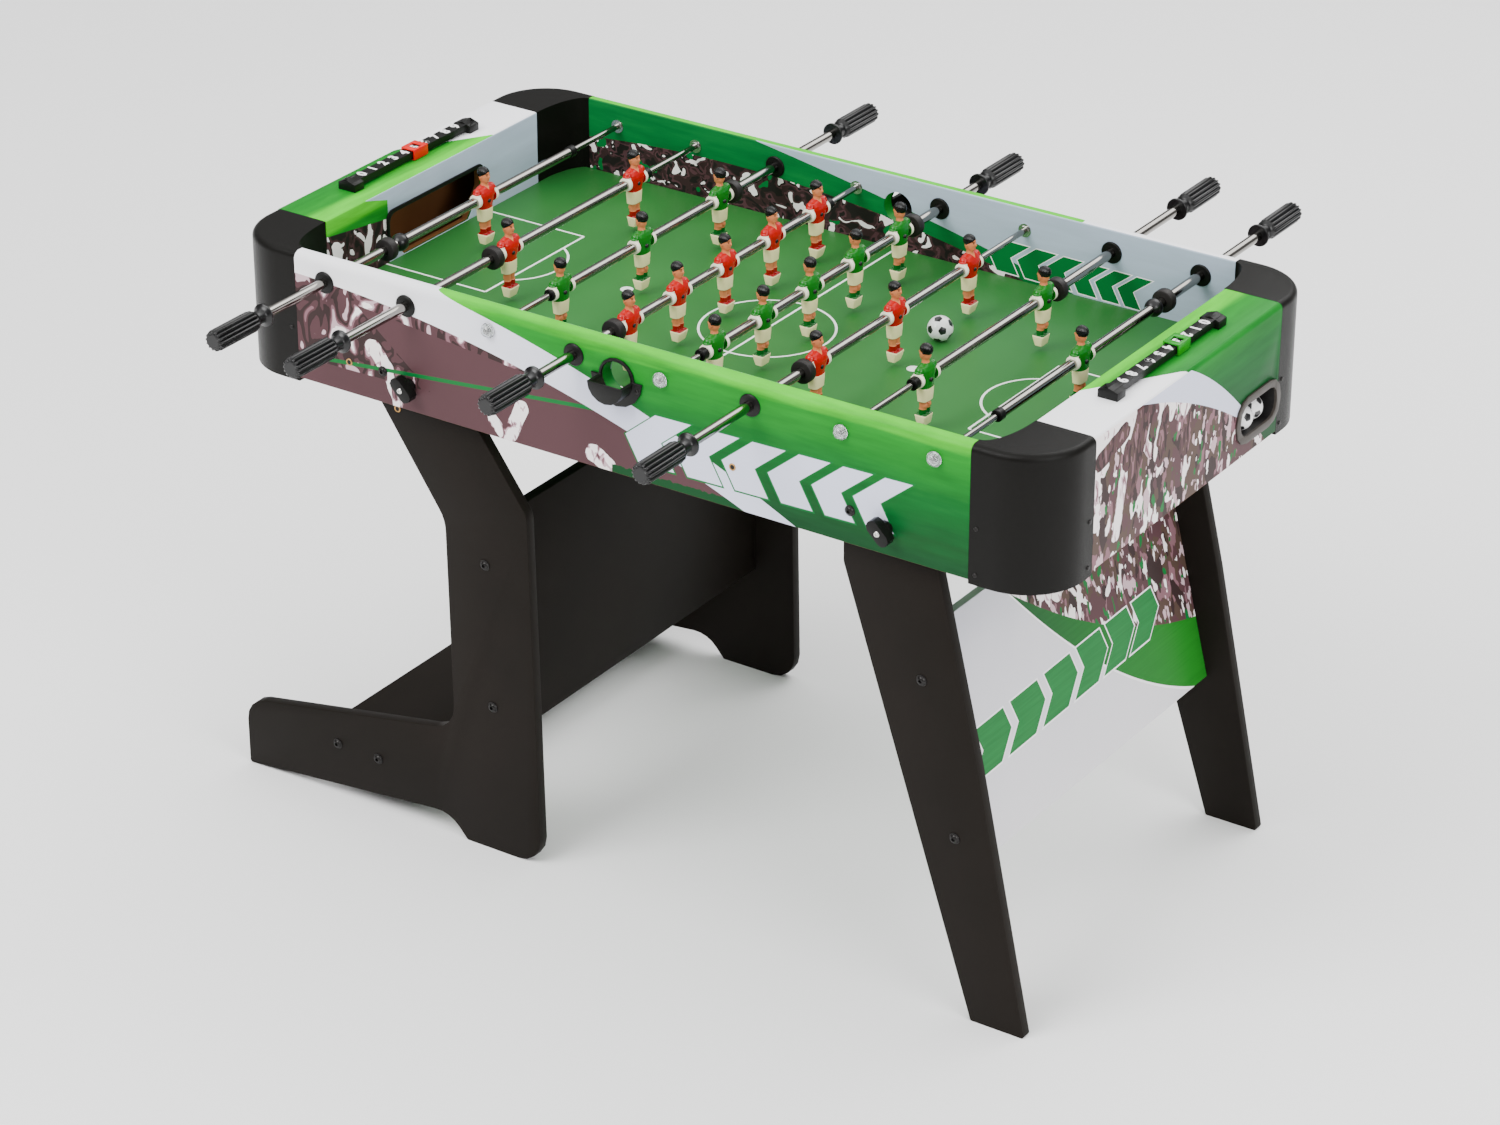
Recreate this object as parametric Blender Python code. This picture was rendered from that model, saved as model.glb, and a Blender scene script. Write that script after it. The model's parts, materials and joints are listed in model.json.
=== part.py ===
"""Folding table football game: a printed cabinet on two folding legs, with eight telescopic rods.

Metres, +Z up. X runs along the cabinet, Y across it. The floor is Z = 0. Every object is placed
in the cabinet's own frame, whose origin is on the floor under the middle of the cabinet, and one
empty moves all of it so that the bounding box is centred on the world origin.
"""
import math

import bmesh
import bpy
from mathutils import Matrix, Vector

# Cabinet
CABINET_LENGTH = 1.210
CABINET_WIDTH = 0.649
CABINET_TOP = 0.788
CABINET_BOTTOM = 0.615
SIDE_BOARD = 0.018
END_BOX_WIDTH = 0.081
END_BOX_WALL = 0.012
END_BOX_CHEEK = 0.004
EDGE_ROUNDING = 0.007
FIT = 0.0003
PAST = 0.010

# Playing field and goals
ROD_HEIGHT = 0.758
FIELD_BELOW_RODS = 0.071
FIELD_THICKNESS = 0.004
GOAL_HALF_WIDTH = 0.099
GOAL_FLOOR_HALF_WIDTH = 0.069
GOAL_SHOULDER = 0.037
GOAL_HEIGHT = 0.066
CHANNEL_HIGH = 0.050
CHANNEL_LOW = 0.0185

# Corner caps
CAP_LENGTH = 0.1085
CAP_WIDTH = 0.098
CAP_RADIUS = 0.078
CAP_WALL = 0.003
CAP_INNER_WALL = 0.002
CAP_DROP = 0.005
CAP_PLAY_RISE = 0.0005

# Rods: two per team size, the second set is the first turned half round
ROD_COUNT = 8
GOALIE_ROD_TO_END = 0.0755
TUBE_RADIUS = 0.0065
TUBE_WALL = 0.0013
TUBE_LESS_THAN_WIDTH = 0.0045
BUSH_WALL = 0.0015
INNER_ROD_RADIUS = 0.0040
INNER_ROD_OUTSIDE = 0.007
INNER_ROD_PAST_MIDDLE = 0.030
TUBE_PAST_MAN = {1: 0.1955, 2: 0.0305, 3: 0.0235, 5: 0.0310}
MEN_PITCH = {1: 0.0, 2: 0.276, 3: 0.176, 5: 0.105}
BUMPER_PAST_MAN = {2: 0.032, 3: 0.028, 5: 0.031}
BUMPER_RADIUS = 0.015
BUMPER_THICKNESS = 0.013
GOALIE_RING_AT = 0.205
GOALIE_BALL_AT = 0.1785
GOALIE_BALL_RADIUS = 0.0115
HANDLE_LENGTH = 0.099
HANDLE_RADIUS = 0.0125
HANDLE_FLANGE_RADIUS = 0.0150
HANDLE_SOCKET = 0.024
HANDLE_END_RADIUS = 0.00875
HANDLE_NECK_RADIUS = 0.0095
HANDLE_END_TAPER = 0.004
HANDLE_GRIP_FROM = 0.026
HANDLE_NECK_FROM = 0.006
HANDLE_NECK_TO = 0.020
HANDLE_FLANGE = 0.003

# Rods from left to right: team, number of men, and where the middle of the men rests across the table
RODS = [
    ("red", 1, 0.0070),
    ("red", 2, 0.0255),
    ("green", 3, 0.0),
    ("red", 5, 0.0),
    ("green", 5, -0.0010),
    ("red", 3, -0.0060),
    ("green", 2, -0.0015),
    ("green", 1, 0.0080),
]

# Men, as sections from foot to crown: height from the rod's axis, half depth, half width
MAN_SECTIONS = [
    (-0.0630, 0.0050, 0.0085),
    (-0.0495, 0.0085, 0.0105),
    (-0.0470, 0.0050, 0.0085),
    (-0.0310, 0.0070, 0.0110),
    (-0.0120, 0.0095, 0.0140),
    (-0.0020, 0.0105, 0.0205),
    (0.0065, 0.0105, 0.0205),
    (0.0165, 0.0075, 0.0125),
    (0.0195, 0.0050, 0.0055),
    (0.0330, 0.0095, 0.0080),
    (0.0435, 0.0055, 0.0050),
]

# Ball entry in each side board
ENTRY_HEIGHT = 0.744
ENTRY_RADIUS = 0.0215
ENTRY_RING_RADIUS = 0.026
ENTRY_FLANGE_RADIUS = 0.0375
ENTRY_FLANGE = 0.003
ENTRY_SCOOP_DEPTH = 0.027
ENTRY_SCOOP_WALL = 0.0025

# Ball return in each end
RETURN_FROM_CAP = 0.053
RETURN_HEIGHT = 0.6630
RETURN_WIDTH = 0.112
RETURN_TALL = 0.063
RETURN_CORNER = 0.028
RETURN_LIP = 0.0075
RETURN_FLANGE = 0.0025
RETURN_DEPTH = 0.050
RETURN_WALL = 0.0025

# Score counters on the ends
SCORE_BAR_LENGTH = 0.264
SCORE_BAR_WIDTH = 0.016
SCORE_BAR_LIFT = 0.0028
SCORE_BAR_HEIGHT = 0.0095
SCORE_CAP_LENGTH = 0.019
SCORE_CAP_WIDTH = 0.027
SCORE_CAP_HEIGHT = 0.0145
SCORE_PITCH = 0.0218
SCORE_RUNNER_WALL = 0.0025
SCORE_RUNNER_LENGTH = 0.029
SCORE_RUNNER_CLEARANCE = 0.0006
SCORE_WINDOW_LENGTH = 0.013
SCORE_WINDOW_WIDTH = 0.0145
SCORES = {"left": 5, "right": 3}

# Folding legs
LEG_BOARD = 0.0155
LEG_SIDE_GAP = 0.0008
PIVOT_ABOVE_BOTTOM = 0.0436
LEG_HEAD_RADIUS = 0.0207
LEFT_PIVOT_FROM_END = 0.2444
RIGHT_PIVOT_FROM_END = 0.2716
STAND_TOE = -0.2731
STAND_HEEL = 0.2135
BACK_PANEL_AT = 0.1401
BACK_PANEL_BOTTOM = 0.158
BACK_PANEL_TOP_BELOW_PIVOT = 0.1806
FOOT_SHELF_FROM = -0.1544
FOOT_SHELF_WIDTH = 0.140
FOOT_SHELF_HEIGHT = 0.077
PRINT_PANEL_AT = 0.117
PRINT_PANEL_BELOW_PIVOT = 0.3036
PRINT_PANEL_LENGTH = 0.3095
PRINT_PANEL_LEAN = math.radians(14.2)

# Lock knobs on the side boards, from each pivot
KNOB_FROM_PIVOT = {"left": (0.0416, -0.0085), "right": (0.0500, -0.0085)}
KNOB_BASE_RADIUS = 0.010
KNOB_BASE_HEIGHT = 0.007
KNOB_WING_LENGTH = 0.036
KNOB_WING_WIDTH = 0.017
KNOB_WING_HEIGHT = 0.013
KNOB_TURN = math.radians(-45)

SHARP_FROM = math.radians(35)

# Places that follow from the sizes above
HALF_LENGTH = CABINET_LENGTH / 2
HALF_WIDTH = CABINET_WIDTH / 2
INNER_X = HALF_LENGTH - END_BOX_WIDTH
INNER_Y = HALF_WIDTH - SIDE_BOARD
BOARD_X = HALF_LENGTH - CAP_LENGTH
BOX_Y = HALF_WIDTH - CAP_WIDTH
RETURN_FROM_MIDDLE = BOX_Y - RETURN_FROM_CAP
FIELD_TOP = ROD_HEIGHT - FIELD_BELOW_RODS
PIVOT_Z = CABINET_BOTTOM + PIVOT_ABOVE_BOTTOM
LEFT_PIVOT_X = -HALF_LENGTH + LEFT_PIVOT_FROM_END
RIGHT_PIVOT_X = HALF_LENGTH - RIGHT_PIVOT_FROM_END
ROD_PITCH = 2 * (INNER_X - GOALIE_ROD_TO_END) / (ROD_COUNT - 1)
TUBE_LENGTH = CABINET_WIDTH - TUBE_LESS_THAN_WIDTH
LEG_Y = INNER_Y - LEG_SIDE_GAP - LEG_BOARD / 2
BETWEEN_LEGS = 2 * (LEG_Y - LEG_BOARD / 2 - FIT)
SCORE_X = HALF_LENGTH - END_BOX_WIDTH / 2

PAINTS = {
    "green_print": ((0.075, 0.340, 0.080), 0.35, 0.0),
    "field_green": ((0.040, 0.230, 0.050), 0.55, 0.0),
    "black_plastic": ((0.022, 0.021, 0.021), 0.50, 0.0),
    "black_board": ((0.030, 0.027, 0.024), 0.60, 0.0),
    "pale_print": ((0.620, 0.630, 0.700), 0.40, 0.0),
    "chrome": ((0.800, 0.800, 0.820), 0.12, 1.0),
    "rubber": ((0.020, 0.018, 0.018), 0.80, 0.0),
    "red_plastic": ((0.620, 0.020, 0.015), 0.25, 0.0),
    "green_plastic": ((0.020, 0.330, 0.045), 0.25, 0.0),
}


def clear_scene():
    for old in list(bpy.data.objects):
        bpy.data.objects.remove(old, do_unlink=True)


def paint(name):
    material = bpy.data.materials.get(name)
    if material is None:
        colour, roughness, metallic = PAINTS[name]
        material = bpy.data.materials.new(name)
        material.use_nodes = True
        shader = material.node_tree.nodes["Principled BSDF"]
        shader.inputs["Base Color"].default_value = (*colour, 1.0)
        shader.inputs["Roughness"].default_value = roughness
        shader.inputs["Metallic"].default_value = metallic
    return material


def place(name, bm, parent, location=(0, 0, 0), material=None):
    """Turn a bmesh into a named object under its parent, with its faces pointing out."""
    bmesh.ops.recalc_face_normals(bm, faces=bm.faces)
    mesh = bpy.data.meshes.new(name)
    bm.to_mesh(mesh)
    bm.free()
    piece = bpy.data.objects.new(name, mesh)
    bpy.context.collection.objects.link(piece)
    piece.location = location
    piece.parent = parent
    if material:
        mesh.materials.append(paint(material))
    mesh.shade_smooth()
    mesh.set_sharp_from_angle(angle=SHARP_FROM)
    return piece


def guide(name, bm, parent, location=(0, 0, 0)):
    """A shape that cuts or joins another and isn't a piece itself."""
    shape = place(name, bm, parent, location)
    shape.hide_render = True
    shape.display_type = "WIRE"
    return shape


def combine(piece, operation, tool):
    boolean = piece.modifiers.new(f"{operation.lower()}_{tool.name}", "BOOLEAN")
    boolean.operation = operation
    boolean.solver = "EXACT"
    boolean.object = tool


def axis_empty(name, location, parent=None):
    empty = bpy.data.objects.new(name, None)
    bpy.context.collection.objects.link(empty)
    empty.location = location
    empty.parent = parent
    return empty


def to_axis(u, v, w, axis):
    """A point of an outline (u, v) at w along the axis that it is extruded on."""
    return {"X": (w, u, v), "Y": (u, w, v), "Z": (u, v, w)}[axis]


def add_loft(bm, rings):
    """Join rings of equally many points, and close both ends."""
    rings = [[bm.verts.new(point) for point in ring] for ring in rings]
    bm.faces.new(rings[0])
    bm.faces.new(rings[-1])
    for one, two in zip(rings, rings[1:]):
        for i in range(len(one)):
            j = (i + 1) % len(one)
            bm.faces.new((one[i], one[j], two[j], two[i]))


def add_prism(bm, outline, low, high, axis):
    add_loft(bm, [[to_axis(u, v, w, axis) for u, v in outline] for w in (low, high)])


def prism(outline, low, high, axis):
    bm = bmesh.new()
    add_prism(bm, outline, low, high, axis)
    return bm


def box_outline(u0, u1, v0, v1):
    return [(u0, v0), (u1, v0), (u1, v1), (u0, v1)]


def box(x0, x1, y0, y1, z0, z1):
    return prism(box_outline(x0, x1, y0, y1), z0, z1, "Z")


def circle(u, v, radius, count, start=0.0, turn=2 * math.pi):
    """Points on an arc. A full turn leaves its last point out, because the outline closes there."""
    steps = count if turn >= 2 * math.pi else count - 1
    angles = [start + turn * i / steps for i in range(count)]
    return [(u + radius * math.cos(a), v + radius * math.sin(a)) for a in angles]


def rounded(corners, steps=4):
    """An outline from (u, v, radius) corners, each corner an arc that touches both its sides."""
    points = []
    for i, (u, v, radius) in enumerate(corners):
        corner = Vector((u, v))
        before = (Vector(corners[i - 1][:2]) - corner).normalized()
        after = (Vector(corners[(i + 1) % len(corners)][:2]) - corner).normalized()
        half = math.acos(max(-1.0, min(1.0, before.dot(after)))) / 2
        if radius <= 0 or half > math.radians(89):
            points.append((u, v))
            continue
        setback = radius / math.tan(half)
        centre = corner + (before + after).normalized() * radius / math.sin(half)
        first = corner + before * setback - centre
        last = corner + after * setback - centre
        turn = first.angle_signed(last)
        for step in range(steps + 1):
            arm = Matrix.Rotation(-turn * step / steps, 2) @ first
            points.append(tuple(centre + arm))
    return points


def add_turned(bm, profile, count, centre=(0, 0, 0), inward=1):
    """Spin (radius, along) points about Y. The profile starts and ends on the axis, or closes on itself."""
    rings = []
    for radius, along in profile:
        if radius == 0:
            rings.append([bm.verts.new((centre[0], centre[1] + inward * along, centre[2]))])
            continue
        points = circle(centre[0], centre[2], radius, count, math.pi / count)
        rings.append([bm.verts.new((x, centre[1] + inward * along, z)) for x, z in points])
    closes = profile[0][0] > 0
    pairs = list(zip(rings, rings[1:]))
    if closes:
        pairs.append((rings[-1], rings[0]))
    for one, two in pairs:
        for i in range(count):
            j = (i + 1) % count
            corners = [one[i % len(one)], one[j % len(one)], two[j % len(two)], two[i % len(two)]]
            face = list(dict.fromkeys(corners))
            bm.faces.new(face)


def turned(profile, count, centre=(0, 0, 0), inward=1):
    bm = bmesh.new()
    add_turned(bm, profile, count, centre, inward)
    return bm


def disc(radius, y0, y1, count, x=0.0, z=0.0):
    return turned([(0, y0), (radius, y0), (radius, y1), (0, y1)], count, (x, 0, z))


def add_disc(bm, radius, y0, y1, count, x=0.0, z=0.0):
    add_turned(bm, [(0, y0), (radius, y0), (radius, y1), (0, y1)], count, (x, 0, z))


def rod_x(number):
    return (number - (ROD_COUNT - 1) / 2) * ROD_PITCH


def handle_side(team):
    """Red handles are on the near side, at -Y, and green ones on the far side."""
    return -1 if team == "red" else 1


def men_places(count):
    pitch = MEN_PITCH[count]
    return [(i - (count - 1) / 2) * pitch for i in range(count)]


def tube_reach(count):
    """How far the tube's open end lies past the middle of its men."""
    return men_places(count)[-1] + TUBE_PAST_MAN[count]


def handle_reach(team, count, rest):
    """How far the handle's end lies from the middle of the table, on its own side."""
    side = handle_side(team)
    return TUBE_LENGTH - tube_reach(count) + HANDLE_LENGTH + side * rest


def frame_shift():
    """Where the cabinet's frame goes, so that the whole box is centred on the world origin."""
    near = max(handle_reach(*rod) for rod in RODS if rod[0] == "red")
    far = max(handle_reach(*rod) for rod in RODS if rod[0] == "green")
    left = min(LEFT_PIVOT_X + STAND_TOE, -HALF_LENGTH - RETURN_FLANGE - FIT)
    right = HALF_LENGTH + RETURN_FLANGE + FIT
    return (-(left + right) / 2, (near - far) / 2, 0)


def side_boards(table):
    """The two printed long boards, with a hole for each rod and one for the ball."""
    for side, name in ((-1, "near_side_board"), (1, "far_side_board")):
        outline = rounded([
            (side * INNER_Y, CABINET_BOTTOM, 0),
            (side * HALF_WIDTH, CABINET_BOTTOM, 0),
            (side * HALF_WIDTH, CABINET_TOP, EDGE_ROUNDING),
            (side * INNER_Y, CABINET_TOP, EDGE_ROUNDING / 3),
        ], steps=3)
        board = place(name, prism(outline, -BOARD_X + FIT, BOARD_X - FIT, "X"), table,
                      material="green_print")
        holes = bmesh.new()
        ends = sorted((side * (INNER_Y - PAST), side * (HALF_WIDTH + PAST)))
        for number, (team, _, _) in enumerate(RODS):
            through = handle_side(team) == side
            radius = TUBE_RADIUS + BUSH_WALL if through else INNER_ROD_RADIUS + FIT
            add_disc(holes, radius, *ends, 12, rod_x(number), ROD_HEIGHT)
        add_disc(holes, ENTRY_RADIUS, *ends, 16, 0, ENTRY_HEIGHT)
        combine(board, "DIFFERENCE", guide(f"{name}_holes", holes, table))


def cap_outline(x_side, y_side, points):
    """Mirror an outline of the +X, +Y corner to the corner wanted."""
    return [(x_side * x, y_side * y) for x, y in points]


def corner_caps(table):
    """Black shells on the corners: a round outside, and a concave wall inside above the field."""
    reach_x = INNER_X - BOARD_X
    reach_y = INNER_Y - BOX_Y
    sweep = [i / 6 * math.pi / 2 for i in range(1, 6)]
    fillet = [(BOARD_X + reach_x * math.sin(a), INNER_Y - reach_y * (1 - math.cos(a)), 0) for a in sweep]
    whole = rounded([
        (BOARD_X, HALF_WIDTH, 0),
        (BOARD_X, INNER_Y, 0),
        *fillet,
        (INNER_X, BOX_Y, 0),
        (HALF_LENGTH, BOX_Y, 0),
        (HALF_LENGTH, HALF_WIDTH, CAP_RADIUS),
    ], steps=7)
    below_field = [
        (BOARD_X - PAST, INNER_Y + FIT),
        (INNER_X, INNER_Y + FIT),
        (INNER_X, BOX_Y - PAST),
        (BOARD_X - PAST, BOX_Y - PAST),
    ]
    hollow = rounded([
        (INNER_X + CAP_INNER_WALL, BOX_Y + CAP_WALL, 0),
        (HALF_LENGTH - CAP_WALL, BOX_Y + CAP_WALL, 0),
        (HALF_LENGTH - CAP_WALL, HALF_WIDTH - CAP_WALL, CAP_RADIUS - CAP_WALL),
        (INNER_X + CAP_INNER_WALL, HALF_WIDTH - CAP_WALL, 0),
    ], steps=7)
    bottom = CABINET_BOTTOM - CAP_DROP
    for x_side, end in ((-1, "left"), (1, "right")):
        for y_side, row in ((-1, "near"), (1, "far")):
            name = f"{row}_{end}_corner_cap"
            outline = cap_outline(x_side, y_side, whole)
            cap = place(name, prism(outline, bottom, CABINET_TOP, "Z"), table, material="black_plastic")
            low = bottom - PAST
            cavity = prism(cap_outline(x_side, y_side, hollow), low, CABINET_TOP - CAP_WALL, "Z")
            combine(cap, "DIFFERENCE", guide(f"{name}_hollow", cavity, table))
            room = prism(cap_outline(x_side, y_side, below_field), low, FIELD_TOP + CAP_PLAY_RISE, "Z")
            combine(cap, "DIFFERENCE", guide(f"{name}_room", room, table))


def end_boxes(table):
    """Hollow ends: a goal mouth inside, a sloping channel, and the ball's way out at the end."""
    for side, name in ((-1, "left_end_box"), (1, "right_end_box")):
        outline = rounded([
            (side * INNER_X, CABINET_BOTTOM, 0),
            (side * HALF_LENGTH, CABINET_BOTTOM, 0),
            (side * HALF_LENGTH, CABINET_TOP, EDGE_ROUNDING),
            (side * INNER_X, CABINET_TOP, EDGE_ROUNDING / 3),
        ], steps=3)
        end_box = place(name, prism(outline, -BOX_Y + FIT, BOX_Y - FIT, "Y"), table, material="green_print")
        inner = BOX_Y - END_BOX_CHEEK
        low = CABINET_BOTTOM + CHANNEL_LOW
        high = CABINET_BOTTOM + CHANNEL_HIGH
        flat_from = RETURN_FROM_MIDDLE - RETURN_WIDTH / 2
        channel = [
            (-side * inner, high),
            (side * flat_from, low),
            (side * inner, low),
            (side * inner, CABINET_TOP - END_BOX_WALL),
            (-side * inner, CABINET_TOP - END_BOX_WALL),
        ]
        inner_wall = side * (INNER_X + END_BOX_WALL)
        outer_wall = side * (HALF_LENGTH - END_BOX_WALL)
        hollow = prism(channel, *sorted((inner_wall, outer_wall)), "X")
        combine(end_box, "DIFFERENCE", guide(f"{name}_hollow", hollow, table))
        mouth = prism(goal_outline(), *sorted((side * (INNER_X - PAST), inner_wall)), "X")
        combine(end_box, "DIFFERENCE", guide(f"{name}_goal", mouth, table))
        hole = return_outline(side, RETURN_LIP - FIT)
        way_out = prism(hole, *sorted((outer_wall, side * (HALF_LENGTH + PAST))), "X")
        combine(end_box, "DIFFERENCE", guide(f"{name}_way_out", way_out, table))


def goal_outline():
    top = FIELD_TOP + GOAL_HEIGHT
    shoulder = FIELD_TOP + GOAL_SHOULDER
    half = GOAL_HALF_WIDTH
    foot = GOAL_FLOOR_HALF_WIDTH
    return rounded([
        (-foot, FIELD_TOP, 0),
        (foot, FIELD_TOP, 0),
        (half, shoulder, 0),
        (half, top, 0.012),
        (-half, top, 0.012),
        (-half, shoulder, 0),
    ], steps=3)


def return_outline(side, inset):
    """The ball return's rounded outline on an end, drawn in by inset from its flange."""
    half_width = RETURN_WIDTH / 2 - inset
    half_tall = RETURN_TALL / 2 - inset
    middle = side * RETURN_FROM_MIDDLE
    radius = RETURN_CORNER - inset
    return rounded([
        (middle - half_width, RETURN_HEIGHT - half_tall, radius),
        (middle + half_width, RETURN_HEIGHT - half_tall, radius),
        (middle + half_width, RETURN_HEIGHT + half_tall, radius),
        (middle - half_width, RETURN_HEIGHT + half_tall, radius),
    ], steps=3)


def ball_returns(table):
    """A flanged tray in each end, open at the front and, inside the end box, at the top."""
    for side, name in ((-1, "left_ball_return"), (1, "right_ball_return")):
        face = side * (HALF_LENGTH + FIT)
        flange = prism(return_outline(side, 0), *sorted((face, face + side * RETURN_FLANGE)), "X")
        tray = place(name, flange, table, material="black_plastic")
        back = face - side * RETURN_DEPTH
        body = prism(return_outline(side, RETURN_LIP), *sorted((back, face + side * RETURN_FLANGE / 2)), "X")
        combine(tray, "UNION", guide(f"{name}_body", body, table))
        inside = RETURN_LIP + RETURN_WALL
        floor_ends = sorted((back + side * RETURN_WALL, face + side * PAST))
        bore = prism(return_outline(side, inside), *floor_ends, "X")
        combine(tray, "DIFFERENCE", guide(f"{name}_bore", bore, table))
        half = RETURN_WIDTH / 2 - inside - RETURN_CORNER / 2
        middle = side * RETURN_FROM_MIDDLE
        x0, x1 = sorted((back + side * RETURN_WALL, side * (HALF_LENGTH - END_BOX_WALL - RETURN_WALL)))
        slot = box(x0, x1, middle - half, middle + half, RETURN_HEIGHT, RETURN_HEIGHT + RETURN_TALL)
        combine(tray, "DIFFERENCE", guide(f"{name}_slot", slot, table))


def playfield(table):
    x = INNER_X - FIT
    y = INNER_Y - FIT
    place("playfield", box(-x, x, -y, y, FIELD_TOP - FIELD_THICKNESS, FIELD_TOP), table,
          material="field_green")


def ball_entries(table):
    """A ring on each side board with a half scoop below it, where the ball is dropped in."""
    for side, name in ((-1, "near_ball_entry"), (1, "far_ball_entry")):
        face = side * (HALF_WIDTH + FIT)
        ring = circle(0, ENTRY_HEIGHT, ENTRY_RING_RADIUS, 9, 0, math.pi)
        apron = circle(0, ENTRY_HEIGHT, ENTRY_FLANGE_RADIUS, 9, math.pi, math.pi)
        plate = prism(ring + apron, *sorted((face, face + side * ENTRY_FLANGE)), "Y")
        entry = place(name, plate, table, material="black_plastic")
        lip = face + side * ENTRY_SCOOP_DEPTH
        scoop = circle(0, ENTRY_HEIGHT, ENTRY_RING_RADIUS, 9, math.pi, math.pi)
        shell = prism(scoop, *sorted((face + side * ENTRY_FLANGE / 2, lip)), "Y")
        combine(entry, "UNION", guide(f"{name}_scoop", shell, table))
        bore = disc(ENTRY_RADIUS, *sorted((face - side * PAST, lip - side * ENTRY_SCOOP_WALL)), 16,
                    0, ENTRY_HEIGHT)
        combine(entry, "DIFFERENCE", guide(f"{name}_bore", bore, table))


def score_counters(table):
    """A raised bar on each end with a foot at both ends, and a runner that frames one digit."""
    for side, end in ((-1, "left"), (1, "right")):
        x = side * SCORE_X
        base = CABINET_TOP + FIT
        bar_low = base + SCORE_BAR_LIFT
        bar_high = bar_low + SCORE_BAR_HEIGHT
        half = SCORE_BAR_LENGTH / 2
        bar = place(f"{end}_score_bar", box(-SCORE_BAR_WIDTH / 2, SCORE_BAR_WIDTH / 2, -half, half,
                    bar_low, bar_high), table, (x, 0, 0), "black_plastic")
        feet = bmesh.new()
        gable = [
            (-SCORE_CAP_WIDTH / 2, base),
            (SCORE_CAP_WIDTH / 2, base),
            (SCORE_CAP_WIDTH / 2, base + SCORE_CAP_HEIGHT * 0.7),
            (0, base + SCORE_CAP_HEIGHT),
            (-SCORE_CAP_WIDTH / 2, base + SCORE_CAP_HEIGHT * 0.7),
        ]
        for foot in (-1, 1):
            add_prism(feet, gable, *sorted((foot * (half + FIT), foot * (half - SCORE_CAP_LENGTH))), "Y")
        combine(bar, "UNION", guide(f"{end}_score_feet", feet, table, (x, 0, 0)))
        gap = SCORE_RUNNER_CLEARANCE
        inner = SCORE_BAR_WIDTH / 2 + gap
        outer = inner + SCORE_RUNNER_WALL
        length = SCORE_RUNNER_LENGTH / 2
        y = side * (4.5 - SCORES[end]) * SCORE_PITCH
        low = bar_low - gap - SCORE_BAR_LIFT / 2
        runner = place(f"{end}_score_runner", box(-outer, outer, -length, length, low,
                       bar_high + gap + SCORE_RUNNER_WALL), table, (x, y, 0),
                       "red_plastic" if end == "left" else "green_plastic")
        hole = prism(box_outline(-inner, inner, bar_low - gap, bar_high + gap), -length * 2, length * 2, "Y")
        combine(runner, "DIFFERENCE", guide(f"{end}_runner_hole", hole, table, (x, y, 0)))
        wide, long = SCORE_WINDOW_WIDTH / 2, SCORE_WINDOW_LENGTH / 2
        window = box(-wide, wide, -long, long, bar_high, bar_high + PAST)
        combine(runner, "DIFFERENCE", guide(f"{end}_runner_window", window, table, (x, y, 0)))


def add_man(bm, along):
    """One figure as a loft of six-sided sections, facing +X, with the rod's axis at height 0."""
    rings = []
    for height, depth, width in MAN_SECTIONS:
        points = [(0, -width), (depth, -width / 2), (depth, width / 2), (0, width),
                  (-depth, width / 2), (-depth, -width / 2)]
        rings.append([(x, along + y, height) for x, y in points])
    add_loft(bm, rings)


def rods(table):
    """Each rod: an inner rod fixed in one board, and a tube that slides and turns on it."""
    for index, (team, count, rest) in enumerate(RODS):
        number = index + 1
        side = handle_side(team)
        axis = axis_empty(f"rod_{number}_axis", (rod_x(index), rest, ROD_HEIGHT), table)
        if team == "green":
            axis.rotation_euler = (0, 0, math.pi)
        open_end = tube_reach(count)
        handle_end = open_end - TUBE_LENGTH
        tube_end = handle_end - HANDLE_SOCKET + FIT
        solid = turned([(0, tube_end), (TUBE_RADIUS, tube_end), (TUBE_RADIUS, open_end), (0, open_end)], 12)
        tube = place(f"rod_{number}_tube_and_men", solid, axis, material="chrome")
        men = bmesh.new()
        for along in men_places(count):
            add_man(men, along)
        combine(tube, "UNION", guide(f"rod_{number}_men", men, axis))
        bore = disc(TUBE_RADIUS - TUBE_WALL, tube_end + TUBE_WALL, open_end + PAST, 12)
        combine(tube, "DIFFERENCE", guide(f"rod_{number}_bore", bore, axis))
        handle(number, axis, handle_end)
        bumper(number, count, axis)
        inner = INNER_ROD_PAST_MIDDLE
        outside = HALF_WIDTH + INNER_ROD_OUTSIDE
        ends = sorted((side * inner, -side * outside))
        place(f"rod_{number}_inner_rod", disc(INNER_ROD_RADIUS, *ends, 12), table,
              (rod_x(index), 0, ROD_HEIGHT), "chrome")


def handle(number, axis, mouth):
    """A grip with a neck and a flange. The tube's end sits in its socket."""
    socket = TUBE_RADIUS + FIT
    end = -HANDLE_LENGTH
    profile = [
        (0, end),
        (HANDLE_END_RADIUS, end),
        (HANDLE_RADIUS, end + HANDLE_END_TAPER),
        (HANDLE_RADIUS, -HANDLE_GRIP_FROM),
        (HANDLE_NECK_RADIUS, -HANDLE_NECK_TO),
        (HANDLE_NECK_RADIUS, -HANDLE_NECK_FROM),
        (HANDLE_FLANGE_RADIUS, -HANDLE_FLANGE),
        (HANDLE_FLANGE_RADIUS, 0),
        (socket, 0),
        (socket, -HANDLE_SOCKET),
        (0, -HANDLE_SOCKET),
    ]
    place(f"rod_{number}_handle", turned(profile, 12, (0, mouth, 0)), axis, material="rubber")


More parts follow.
